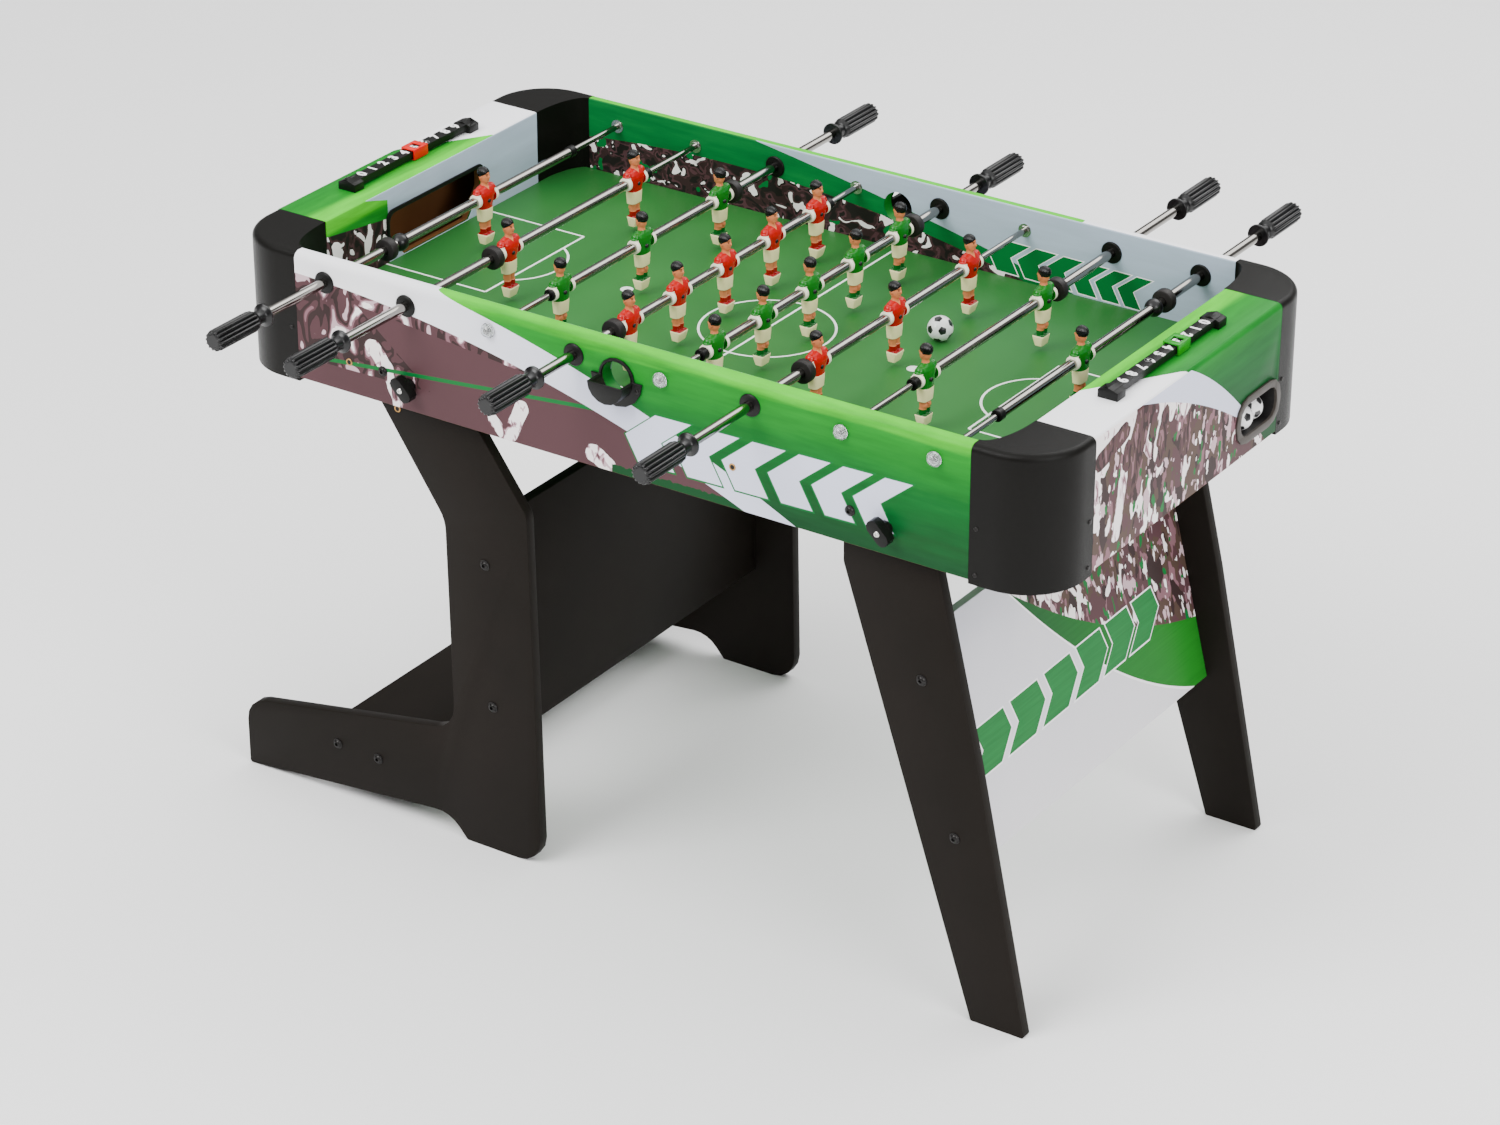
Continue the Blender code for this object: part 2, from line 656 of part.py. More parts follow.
def bumper(number, count, axis):
    """The rubber ring on the handle's side of the men. The goalie's has a round stop beside it."""
    inner = TUBE_RADIUS + FIT
    half = BUMPER_THICKNESS / 2
    if count == 1:
        ring = -GOALIE_RING_AT
        ball = -GOALIE_BALL_AT
        r = GOALIE_BALL_RADIUS
        profile = [(inner, ring - half), (BUMPER_RADIUS, ring - half), (BUMPER_RADIUS, ring + half),
                   (r * 0.75, ring + half)]
        profile += [(r, ball - r * 0.5), (r, ball + r * 0.5), (inner, ball + r)]
    else:
        ring = men_places(count)[0] - BUMPER_PAST_MAN[count]
        profile = [(inner, ring - half), (BUMPER_RADIUS, ring - half), (BUMPER_RADIUS, ring + half),
                   (inner, ring + half)]
    place(f"rod_{number}_bumper", turned(profile, 12), axis, material="rubber")


def stand_outline():
    """The left leg's board, a slanted neck on an upright with a long toe, from its pivot."""
    floor = -PIVOT_Z
    head = LEG_HEAD_RADIUS
    return rounded([
        (STAND_TOE, floor, 0.004),
        (0.0660, floor + 0.0325, 0.045),
        (0.0943, floor, 0.003),
        (STAND_HEEL, floor, 0.036),
        (0.2040, -0.1540, 0.030),
        (0.0784, head, 0.006),
        (-head, head, head - FIT),
        (-head, -0.0540, 0.012),
        (0.0750, -0.1950, 0.050),
        (0.0795, floor + 0.1615, 0.040),
        (STAND_TOE, floor + 0.0975, 0.036),
    ], steps=4)


def strut_outline():
    """The right leg's tapered board, which leans outwards, from its pivot."""
    floor = -PIVOT_Z
    head = LEG_HEAD_RADIUS
    return rounded([
        (0.1709, floor, 0.003),
        (0.2467, floor, 0.003),
        (0.1684, floor + 0.3673, 0),
        (0.0926, head, 0.006),
        (-head, head, head - FIT),
        (-head, -0.0800, 0.020),
    ], steps=4)


def legs(table):
    """Two folding legs, each with its boards, on empties at their pivots."""
    half = LEG_BOARD / 2
    left = axis_empty("left_leg_pivot", (LEFT_PIVOT_X, 0, PIVOT_Z), table)
    right = axis_empty("right_leg_pivot", (RIGHT_PIVOT_X, 0, PIVOT_Z), table)
    for side, row in ((-1, "near"), (1, "far")):
        y0, y1 = side * LEG_Y - half, side * LEG_Y + half
        place(f"{row}_stand_board", prism(stand_outline(), y0, y1, "Y"), left, material="black_board")
        place(f"{row}_strut_board", prism(strut_outline(), y0, y1, "Y"), right, material="black_board")
    y = BETWEEN_LEGS / 2
    back = box(-half, half, -y, y, BACK_PANEL_BOTTOM - PIVOT_Z, -BACK_PANEL_TOP_BELOW_PIVOT)
    place("stand_back_panel", back, left, (BACK_PANEL_AT, 0, 0), "black_board")
    shelf = box(0, FOOT_SHELF_WIDTH, -y, y, -half, half)
    place("stand_foot_shelf", shelf, left, (FOOT_SHELF_FROM, 0, FOOT_SHELF_HEIGHT - PIVOT_Z), "black_board")
    printed = box(-half, half, -y, y, -PRINT_PANEL_LENGTH / 2, PRINT_PANEL_LENGTH / 2)
    panel = place("strut_print_panel", printed, right, (PRINT_PANEL_AT, 0, -PRINT_PANEL_BELOW_PIVOT),
                  "pale_print")
    panel.rotation_euler = (0, -PRINT_PANEL_LEAN, 0)


def lock_knobs(table):
    """Wing knobs that clamp the legs, two on each side board."""
    pivots = {"left": LEFT_PIVOT_X, "right": RIGHT_PIVOT_X}
    for side, row in ((-1, "near"), (1, "far")):
        for end, (along, up) in KNOB_FROM_PIVOT.items():
            name = f"{row}_{end}_lock_knob"
            place_at = (pivots[end] + along, side * (HALF_WIDTH + FIT), PIVOT_Z + up)
            top = KNOB_BASE_HEIGHT
            base = disc(KNOB_BASE_RADIUS, *sorted((0, side * top)), 12)
            knob = place(name, base, table, place_at, "black_plastic")
            long, wide = KNOB_WING_LENGTH / 2, KNOB_WING_WIDTH / 2
            corner = wide * 0.9
            outline = rounded([(-long, -wide, corner), (long, -wide, corner), (long, wide, corner),
                               (-long, wide, corner)], steps=2)
            spin = Matrix.Rotation(KNOB_TURN, 2)
            outline = [tuple(spin @ Vector(point)) for point in outline]
            wing = prism(outline, *sorted((side * (top - 0.001), side * (top + KNOB_WING_HEIGHT))), "Y")
            combine(knob, "UNION", guide(f"{name}_wing", wing, table, place_at))


def main():
    clear_scene()
    table = axis_empty("table", frame_shift())
    side_boards(table)
    corner_caps(table)
    end_boxes(table)
    playfield(table)
    ball_entries(table)
    ball_returns(table)
    score_counters(table)
    rods(table)
    legs(table)
    lock_knobs(table)


main()
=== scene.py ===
import json
import math

import bmesh
import bpy
from mathutils import Matrix, Vector


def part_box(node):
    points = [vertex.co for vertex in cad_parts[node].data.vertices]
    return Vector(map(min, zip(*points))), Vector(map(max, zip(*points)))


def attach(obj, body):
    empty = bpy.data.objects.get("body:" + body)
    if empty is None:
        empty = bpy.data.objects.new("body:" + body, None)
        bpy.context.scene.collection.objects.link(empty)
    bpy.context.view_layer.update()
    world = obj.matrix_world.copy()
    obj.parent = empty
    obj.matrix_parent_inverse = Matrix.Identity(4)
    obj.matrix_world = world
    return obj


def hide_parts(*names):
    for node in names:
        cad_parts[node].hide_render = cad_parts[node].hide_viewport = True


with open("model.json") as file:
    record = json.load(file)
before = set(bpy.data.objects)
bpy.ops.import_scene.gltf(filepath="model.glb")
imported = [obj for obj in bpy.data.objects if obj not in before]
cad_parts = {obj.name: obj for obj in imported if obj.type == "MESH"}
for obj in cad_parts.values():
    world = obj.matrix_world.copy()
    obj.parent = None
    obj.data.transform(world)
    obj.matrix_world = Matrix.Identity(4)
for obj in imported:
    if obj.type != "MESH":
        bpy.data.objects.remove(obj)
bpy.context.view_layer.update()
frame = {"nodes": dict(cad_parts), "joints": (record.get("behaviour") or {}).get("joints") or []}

# Places read from the frame. Shapes are drawn about the middle of the cabinet and moved there at the end.
leftBox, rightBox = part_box("left_end_box"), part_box("right_end_box")
nearBox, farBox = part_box("near_side_board"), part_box("far_side_board")
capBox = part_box("far_right_corner_cap")
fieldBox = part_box("playfield")
centre = Vector(((leftBox[0].x + rightBox[1].x) / 2, (nearBox[0].y + farBox[1].y) / 2, 0))
halfLength = rightBox[1].x - centre.x
halfWidth = farBox[1].y - centre.y
innerX = rightBox[0].x - centre.x
innerY = farBox[0].y - centre.y
boardX = capBox[0].x - centre.x
boxY = capBox[0].y - centre.y
tableTop = nearBox[1].z
tableBottom = nearBox[0].z
capBottom = capBox[0].z
fieldTop = fieldBox[1].z
joints = {joint["name"]: joint for joint in frame["joints"]}
fit = 0.0003


def span(node):
    low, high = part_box(node)
    return low - centre, high - centre, (low + high) / 2 - centre


rodSpots = [span(f"rod_{k}_inner_rod")[2] for k in range(1, 9)]
rodHeight = rodSpots[0].z
teams = ["red", "red", "green", "red", "green", "red", "green", "green"]
menCounts = [1, 2, 3, 5, 5, 3, 2, 1]
menPitch = {1: 0.0, 2: 0.276, 3: 0.176, 5: 0.105}
print("frame read:", len(frame["nodes"]), "nodes")


def arc(u, v, radius, count, start, turn):
    steps = count - (turn < 2 * math.pi)
    return [(u + radius * math.cos(start + turn * i / steps), v + radius * math.sin(start + turn * i / steps))
            for i in range(count)]


def rounded(corners, steps=6):
    points = []
    for i, (u, v, radius) in enumerate(corners):
        corner = Vector((u, v))
        before = (Vector(corners[i - 1][:2]) - corner).normalized()
        after = (Vector(corners[(i + 1) % len(corners)][:2]) - corner).normalized()
        half = math.acos(max(-1.0, min(1.0, before.dot(after)))) / 2
        if radius <= 0 or half > math.radians(89):
            points.append((u, v))
            continue
        setback = radius / math.tan(half)
        middle = corner + (before + after).normalized() * radius / math.sin(half)
        first = corner + before * setback - middle
        turn = first.angle_signed(corner + after * setback - middle)
        for step in range(steps + 1):
            points.append(tuple(middle + Matrix.Rotation(-turn * step / steps, 2) @ first))
    return points


def toAxis(u, v, w, axis):
    return {"X": (w, u, v), "Y": (u, w, v), "Z": (u, v, w)}[axis]


def loft(bm, rings, closedEnds=True):
    rings = [[bm.verts.new(point) for point in ring] for ring in rings]
    if closedEnds:
        bm.faces.new(rings[0])
        bm.faces.new(rings[-1])
    for one, two in zip(rings, rings[1:]):
        for i in range(len(one)):
            j = (i + 1) % len(one)
            bm.faces.new((one[i], one[j], two[j], two[i]))


def slab(outline, low, high, axis, bm=None):
    bm = bm or bmesh.new()
    loft(bm, [[toAxis(u, v, w, axis) for u, v in outline] for w in sorted((low, high))])
    return bm


def turned(profile, count=32, at=(0, 0, 0), axis="Y", bm=None):
    # (radius, along) points spun about the axis through the spot; radius 0 closes an end
    bm = bm or bmesh.new()
    rings = []
    for radius, along in profile:
        ring = arc(0, 0, radius, count, 0, 2 * math.pi) if radius else [(0, 0)]
        rings.append([bm.verts.new(Vector(toAxis(u, v, along, axis)) + Vector(at)) for u, v in ring])
    pairs = list(zip(rings, rings[1:]))
    if profile[0][0]:
        pairs.append((rings[-1], rings[0]))
    for one, two in pairs:
        for i in range(count):
            j = (i + 1) % count
            corners = [one[i % len(one)], one[j % len(one)], two[j % len(two)], two[i % len(two)]]
            bm.faces.new(list(dict.fromkeys(corners)))
    return bm


def fromCad(node):
    bm = bmesh.new()
    bm.from_mesh(frame["nodes"][node].data)
    bmesh.ops.translate(bm, vec=-centre, verts=bm.verts)
    bmesh.ops.remove_doubles(bm, verts=bm.verts, dist=0.00002)
    bmesh.ops.dissolve_limit(bm, angle_limit=math.radians(0.5), verts=bm.verts, edges=bm.edges)
    return bm


def bevelled(bm, width, segments=2, over=30, where=None):
    edges = [e for e in bm.edges if len(e.link_faces) == 2 and e.calc_face_angle(0) > math.radians(over)
             and (where is None or all(where(v.co) for v in e.verts))]
    bmesh.ops.bevel(bm, geom=edges, offset=width, segments=segments, profile=0.5, affect="EDGES",
                    clamp_overlap=True)
    return bm


def madeObject(name, bm):
    bmesh.ops.recalc_face_normals(bm, faces=bm.faces)
    mesh = bpy.data.meshes.new(name)
    bm.to_mesh(mesh)
    bm.free()
    obj = bpy.data.objects.new(name, mesh)
    bpy.context.scene.collection.objects.link(obj)
    return obj


def evaluated(obj):
    bpy.context.view_layer.update()
    return bpy.data.meshes.new_from_object(obj.evaluated_get(bpy.context.evaluated_depsgraph_get()))


def dropped(obj):
    bpy.data.objects.remove(obj, do_unlink=True)


def combined(bm, operation, *tools):
    # exact boolean of a mesh with others, back as a mesh
    base = madeObject("base", bm)
    helpers = [madeObject("tool", tool) for tool in tools]
    for helper in helpers:
        modifier = base.modifiers.new("cut", "BOOLEAN")
        modifier.operation = operation
        modifier.solver = "EXACT"
        modifier.object = helper
    result = bmesh.new()
    result.from_mesh(evaluated(base))
    for obj in [base, *helpers]:
        dropped(obj)
    return result


def piece(name, bm, material, body, stands=(), sharp=35):
    obj = madeObject(name, bm) if isinstance(bm, bmesh.types.BMesh) else bm
    mesh = obj.data
    mesh.transform(Matrix.Translation(centre))
    mesh.materials.clear()
    mesh.materials.append(material)
    mesh.shade_smooth()
    mesh.set_sharp_from_angle(angle=math.radians(sharp))
    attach(obj, body)
    if stands:
        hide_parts(*stands)
    return obj


def rgb(red, green, blue):
    def linear(value):
        value /= 255
        return value / 12.92 if value <= 0.04045 else ((value + 0.055) / 1.055) ** 2.4
    return (linear(red), linear(green), linear(blue), 1.0)


class Wire:
    # a socket that takes part in sums
    def __init__(self, paint, socket):
        self.paint = paint
        self.socket = socket

    def maths(self, operation, *values):
        return self.paint.make("ShaderNodeMath", {"operation": operation}, dict(enumerate(values)))

    def __add__(self, other):
        return self.maths("ADD", self, other)

    def __sub__(self, other):
        return self.maths("SUBTRACT", self, other)

    def __rsub__(self, other):
        return self.maths("SUBTRACT", other, self)

    def __mul__(self, other):
        return self.maths("MULTIPLY", self, other)

    def __truediv__(self, other):
        return self.maths("DIVIDE", self, other)

    def __gt__(self, other):
        return self.maths("GREATER_THAN", self, other)

    def __lt__(self, other):
        return self.maths("LESS_THAN", self, other)

    def __abs__(self):
        return self.maths("ABSOLUTE", self)

    def lower(self, other):
        return self.maths("MINIMUM", self, other)

    def higher(self, other):
        return self.maths("MAXIMUM", self, other)

    def root(self):
        return self.maths("SQRT", self)

    __radd__ = __add__
    __rmul__ = __mul__


class Paint:
    # a material, its shader, and one method that adds any node
    def __init__(self, name, **fixed):
        self.material = bpy.data.materials.new(name)
        self.material.use_nodes = True
        self.tree = self.material.node_tree
        self.shader = self.tree.nodes["Principled BSDF"]
        for socket, value in fixed.items():
            self.shader.inputs[socket.replace("_", " ")].default_value = value

    def make(self, kind, settings=None, sockets=None, out=0):
        node = self.tree.nodes.new(kind)
        for key, value in (settings or {}).items():
            if key == "stops":
                ramp = node.color_ramp
                ramp.interpolation = value[0]
                while len(ramp.elements) < len(value) - 1:
                    ramp.elements.new(0.5)
                for element, (at, colour) in zip(ramp.elements, value[1:]):
                    element.position = at
                    element.color = colour
            else:
                setattr(node, key, value)
        for key, value in (sockets or {}).items():
            if isinstance(value, Wire):
                self.tree.links.new(value.socket, node.inputs[key])
            else:
                node.inputs[key].default_value = value
        return Wire(self, node.outputs[out])

    def feed(self, **wires):
        for socket, wire in wires.items():
            self.tree.links.new(wire.socket, self.shader.inputs[socket.replace("_", " ")])
        return self.material

    def place(self, attribute=None):
        # x, y and z about the middle of the cabinet, or from an attribute of the piece
        if attribute:
            vector = self.make("ShaderNodeAttribute", {"attribute_name": attribute}, out=1)
        else:
            here = self.make("ShaderNodeTexCoord", out=3)
            vector = self.make("ShaderNodeVectorMath", {"operation": "SUBTRACT"}, {0: here, 1: centre})
        node = self.make("ShaderNodeSeparateXYZ", None, {0: vector})
        return [vector] + [Wire(self, node.socket.node.outputs[i]) for i in range(3)]

    def vector(self, x, y, z=0.0):
        return self.make("ShaderNodeCombineXYZ", None, {0: x, 1: y, 2: z})

    def noise(self, vector, scale, detail=2.0, roughness=0.5, distortion=0.0):
        return self.make("ShaderNodeTexNoise", None, {"Vector": vector, "Scale": scale, "Detail": detail,
                         "Roughness": roughness, "Distortion": distortion})

    def ramp(self, factor, *stops, style="LINEAR"):
        return self.make("ShaderNodeValToRGB", {"stops": [style, *stops]}, {0: factor})

    def mix(self, factor, one, two):
        return self.make("ShaderNodeMix", {"data_type": "RGBA"}, {0: factor, 6: one, 7: two}, out=2)

    def bump(self, height, strength, distance=0.001):
        return self.make("ShaderNodeBump", None, {
            "Strength": strength, "Distance": distance, "Height": height})

    def stroke(self, u, v, start, end, width):
        # 1 inside a round-ended stroke between two places
        du, dv = end[0] - start[0], end[1] - start[1]
        pu, pv = u - start[0], v - start[1]
        along = ((pu * du + pv * dv) / (du * du + dv * dv)).higher(0.0).lower(1.0)
        return ((pu - along * du) * (pu - along * du) + (pv - along * dv) * (pv - along * dv)).root() < width


finish = {
    "white": rgb(250, 250, 253),
    "lavender": rgb(214, 218, 238),
    "wedge": rgb(172, 188, 204),
    "lime": rgb(78, 198, 36),
    "green": rgb(22, 134, 36),
    "midGreen": rgb(13, 94, 36),
    "darkGreen": rgb(16, 68, 34),
    "stripe": rgb(14, 108, 50),
    "mauve": rgb(82, 56, 60),
    "deepMauve": rgb(54, 40, 40),
    "umber": rgb(80, 63, 55),
    "rose": rgb(130, 94, 102),
    "pink": rgb(200, 172, 180),
    "cream": rgb(252, 244, 244),
    "black": rgb(34, 32, 30),
}


def plastic(name, colour, roughness, grain=900.0, strength=0.25, **fixed):
    paint = Paint(name, Roughness=roughness, **fixed)
    vector = paint.place()[0]
    fine = paint.noise(vector, grain, 3.0, 0.6)
    broad = paint.noise(vector, 9.0, 2.0)
    darker = [c * 0.88 for c in colour[:3]] + [1]
    lighter = [min(1, c * 1.1) for c in colour[:3]] + [1]
    tint = paint.ramp(broad, (0.3, darker), (0.7, lighter))
    rough = paint.make("ShaderNodeMapRange", None, {
        0: broad, 3: roughness * 0.88, 4: min(1.0, roughness * 1.15)})
    return paint.feed(Base_Color=tint, Roughness=rough, Normal=paint.bump(fine, strength, 0.0004))


def crowd(paint, u, v, scale, stretch=(1.0, 1.0), seed=0.0,
          palette=("deepMauve", "mauve", "rose", "pink", "cream"), levels=(0.0, 0.43, 0.5, 0.56, 0.6)):
    # flat tones in torn patches, like a cut-out print
    vector = paint.vector(u * stretch[0], v * stretch[1], seed)
    tone = paint.noise(vector, scale, 1.6, 0.5, 0.8)
    stops = [(level, finish[name]) for level, name in zip(levels, palette)]
    return paint.ramp(tone, *stops, style="CONSTANT")


def crowdScene(paint, u, v, seed, clearing):
    # pale ground with brown forms that crowd together where the clearing is low, and a few green bits
    broad = paint.noise(paint.vector(u * 1.5, v * 0.8, seed), 20.0, 2.0, 0.5, 0.4)
    forms = finish["umber"]
    for tone, scale, level in (("mauve", 18.0, 0.50), ("rose", 27.0, 0.57), ("deepMauve", 21.0, 0.56),
                               ("pink", 37.0, 0.61), ("cream", 29.0, 0.60)):
        patches = paint.noise(paint.vector(u * 1.7, v * 0.8, seed + scale), scale, 2.5, 0.6, 0.2)
        forms = paint.mix(patches > level, forms, finish[tone])
    ground = crowd(paint, u, v, 55.0, (1.8, 0.7), seed + 3, ("cream", "pink", "rose"), (0.0, 0.60, 0.68))
    colour = paint.mix((broad - clearing) > 0.50, ground, forms)
    green = paint.noise(paint.vector(u * 2.0, v * 0.9, seed + 5), 40.0, 1.0) > 0.65
    return paint.mix(green * ((broad - clearing) > 0.52), colour, finish["stripe"])


def brushed(paint, colour, u, v, amount=0.18):
    # long faint brush marks over a print
    marks = paint.noise(paint.vector(u * 9.0, v * 70.0), 1.0, 4.0, 0.6)
    light = paint.make("ShaderNodeMapRange", None, {0: marks, 1: 0.3, 2: 0.7, 3: 1 - amount, 4: 1 + amount})
    colour = colour if isinstance(colour, Wire) else colour[:3]
    return paint.make("ShaderNodeVectorMath", {"operation": "SCALE"}, {0: colour, "Scale": light})


def greens(paint, height, u):
    # lime at the top edge, falling to dark green at the bottom
    wave = paint.noise(paint.vector(u * 5.0, height * 12.0), 1.0, 2.0)
    level = height + (wave - 0.5) * 0.2
    return brushed(paint, paint.ramp(level, (0.05, finish["darkGreen"]), (0.5, finish["midGreen"]),
                                     (0.9, finish["green"]), (1.0, finish["lime"])), u, height * 0.17)


def sideBoardPrint(name, side):
    # u runs to the right as seen from outside, and the inner face has its own picture
    paint = Paint(name, Roughness=0.4, Specular_IOR_Level=0.2, IOR=1.3)
    _, x, y, z = paint.place()
    u = x * -side
    height = (z - tableBottom) / (tableTop - tableBottom)
    green = greens(paint, height, u)
    upper = 0.771 - 0.247 * (u + 0.188) - 0.29 * (u + 0.188) * (u + 0.095)
    lowerEdge = 0.760 - 0.1211 * (u + 0.497) - 0.28 * (u + 0.497) * (u + 0.142)
    band = paint.mix(paint.make("ShaderNodeMapRange", None, {0: u, 1: -0.35, 2: 0.0}),
                     finish["white"], finish["lavender"])
    tones = ("pink", "mauve", "deepMauve", "mauve", "rose", "pink", "cream")
    art = crowd(paint, u, z, 27.0, (1.2, 0.8), 1.3, tones, (0.0, 0.33, 0.41, 0.50, 0.55, 0.60, 0.64))
    plain = paint.mix((z - 0.655 - u * 0.02) > 0.0, finish["mauve"], art)
    plain = paint.mix(((u * 0.8 + z) > 0.42) * ((z + u * 0.1) < 0.70), plain, finish["mauve"])
    for start, end, width in (
            ((-0.372, 0.690), (-0.352, 0.668), 0.012), ((-0.352, 0.668), (-0.336, 0.622), 0.008),
            ((-0.142, 0.668), (-0.160, 0.628), 0.010), ((-0.186, 0.640), (-0.168, 0.622), 0.009),
            ((-0.034, 0.636), (-0.012, 0.624), 0.012)):
        wobble = paint.noise(paint.vector(u, z), 60.0, 2.0) * 0.006
        plain = paint.mix(paint.stroke(u + wobble, z + wobble, start, end, width), plain,
                          crowd(paint, u, z, 60.0, (1.6, 0.8), 5.0, levels=(0.0, 0.2, 0.36, 0.41, 0.46)))
    stripe = abs(z - 0.6965 - u * 0.098) < 0.0026
    plain = paint.mix(stripe, plain, finish["stripe"])
    ragged = paint.noise(paint.vector(u, 0.0), 140.0, 3.0) * 0.012
    plain = paint.mix((u > -0.01) * ((z + ragged) < 0.632), plain, finish["darkGreen"])
    outer = paint.mix((z - lowerEdge) > 0.0, plain, band)
    outer = paint.mix((z - upper) > 0.0, outer, green)
    # slanted arrows across the right half, pale with a green edge
    lean = u - (z - 0.67) * 0.35 - abs(z - 0.672 - u * 0.02) * 0.9
    for at, wide in ((0.036, 0.052), (0.106, 0.050), (0.173, 0.047), (0.237, 0.044), (0.297, 0.041),
                     (0.353, 0.038)):
        tall = abs(z - 0.672 - u * 0.02)
        edge = (abs(lean - at) < wide / 2 + 0.0022) * (tall < 0.0372)
        face = (abs(lean - at) < wide / 2) * (tall < 0.035)
        outer = paint.mix(edge, outer, finish["stripe"])
        outer = paint.mix(face, outer, finish["lavender"])
    # inner face, drawn the same way round on both boards
    w = x * side
    wedge = 0.782 - 0.174 * (w + 0.188) - 0.10 * (w + 0.188) * (w + 0.079)
    bandLow = 0.745 - 0.04 * (w + 0.255) - 0.26 * (w + 0.255) * (w + 0.151)
    camo = crowd(paint, w, z, 42.0, (1.0, 1.2), 7.0, ("black", "deepMauve", "mauve", "black", "cream"),
                 (0.0, 0.42, 0.50, 0.55, 0.60))
    bits = paint.noise(paint.vector(w, z, 3.0), 26.0, 2.0) > 0.64
    camo = paint.mix(bits, camo, finish["stripe"])
    inner = paint.mix((z - bandLow) > 0.0, camo, brushed(paint, finish["stripe"], w, z))
    inner = paint.mix((z - wedge) > 0.0, inner, brushed(paint, finish["wedge"], w, z, 0.06))
    for at, wide in ((0.156, 0.032), (0.198, 0.031), (0.238, 0.029), (0.276, 0.027), (0.311, 0.025),
                     (0.343, 0.023)):
        tall = abs(z - 0.718 + w * 0.02)
        leanIn = w - (z - 0.715) * 0.35 - tall * 0.9
        inner = paint.mix((abs(leanIn - at) < wide / 2 + 0.0015) * (tall < 0.0235), inner, finish["white"])
        inner = paint.mix((abs(leanIn - at) < wide / 2) * (tall < 0.022), inner, finish["stripe"])
    outside = (y * side) > (innerY + 0.0015)
    underside = z < (tableBottom + 0.0004)
    colour = paint.mix(outside, inner, outer)
    colour = paint.mix(underside, colour, rgb(120, 92, 66))
    fine = paint.noise(paint.place()[0], 700.0, 2.0)
    return paint.feed(Base_Color=colour, Normal=paint.bump(fine, 0.06, 0.0003))


def endBoxPrint(name, side):
    # the ends: the print runs over the top, the inside is raw board
    paint = Paint(name, Roughness=0.4, Specular_IOR_Level=0.2, IOR=1.3)
    _, x, y, z = paint.place()
    u = y * side
    out = x * side
    height = (z - tableBottom) / (tableTop - tableBottom)
    topSlope = (out - innerX) / (halfLength - innerX)
    green = greens(paint, height - topSlope * 0.35 + 0.05, u)
    # one curve crosses the top and comes down the outside
    onTop = u + 0.131 - (out - innerX) * 1.55
    peak = 0.790 - 0.62 * (u + 0.01) - 1.6 * (u + 0.01) * (u - 0.06)
    artTop = 0.783 - 0.36 * (u + 0.109) - 0.75 * (u + 0.109) * (u + 0.023)
    art = crowdScene(paint, u, z, 2.1, (z - 0.755) * 2.2 - u * 0.25)
    sway = (paint.noise(paint.vector(u, z), 50.0, 2.0) - 0.5) * 0.010
    brown = crowd(paint, u, z, 55.0, (2.2, 0.7), 4.0, ("deepMauve", "mauve", "umber", "rose"),
                  (0.0, 0.44, 0.54, 0.62))
    clear = crowd(paint, u, z, 60.0, (2.2, 0.6), 6.0, ("cream", "pink", "rose"), (0.0, 0.57, 0.66))
    for start, end, width, tone in (
            ((-0.215, 0.752), (-0.160, 0.768), 0.013, brown),
            ((-0.105, 0.800), (-0.148, 0.690), 0.020, brown),
            ((-0.158, 0.715), (-0.172, 0.640), 0.0095, clear),
            ((-0.148, 0.742), (-0.152, 0.728), 0.013, brown),
            ((-0.062, 0.752), (-0.070, 0.700), 0.011, brown),
            ((-0.005, 0.718), (-0.012, 0.690), 0.014, brown)):
        art = paint.mix(paint.stroke(u + sway, z + sway, start, end, width), art, tone)
    # between the art and the green the outer face is lavender: the white print of the top, painted in shade
    face = paint.mix((z - artTop) < 0.0, finish["lavender"], art)
    face = paint.mix((z - peak) > 0.0, face, green)
    top = paint.mix(onTop > 0.0, finish["white"], green)
    onFace = out > (halfLength - 0.006)
    outer = paint.mix(onFace * (z < (tableTop - 0.003)), top, face)
    # towards the field
    w = y * side
    camo = crowd(paint, w, z, 40.0, (1.3, 0.8), 3.0, ("black", "deepMauve", "mauve", "black", "cream"),
                 (0.0, 0.42, 0.50, 0.55, 0.58))
    camoTop = 0.766 + 0.14 * (w - 0.229)
    wedge = 0.785 + 0.30 * (w - 0.137)
    inner = paint.mix((z - camoTop) > 0.0, camo, green)
    pale = brushed(paint, finish["wedge"], w, z, 0.06)
    inner = paint.mix(((z - wedge) > 0.0).higher(w < 0.10), inner, pale)
    raw = rgb(112, 74, 44)
    colour = paint.mix(out < (innerX + 0.0008), outer, inner)
    hollow = (out > (innerX + 0.003)) * (out < (halfLength - 0.003)) * (z < (tableTop - 0.004))
    colour = paint.mix(hollow * (abs(y) < (boxY - 0.002)), colour, raw)
    colour = paint.mix(z < (tableBottom + 0.0004), colour, rgb(120, 92, 66))
    fine = paint.noise(paint.place()[0], 700.0, 2.0)
    return paint.feed(Base_Color=colour, Normal=paint.bump(fine, 0.06, 0.0003))


pitch = {"line": 0.0032, "circle": 0.087, "box": 0.161, "boxHalf": 0.108, "arc": 0.072, "arcBack": 0.036,
         "spot": 0.217, "spotSize": 0.0085}


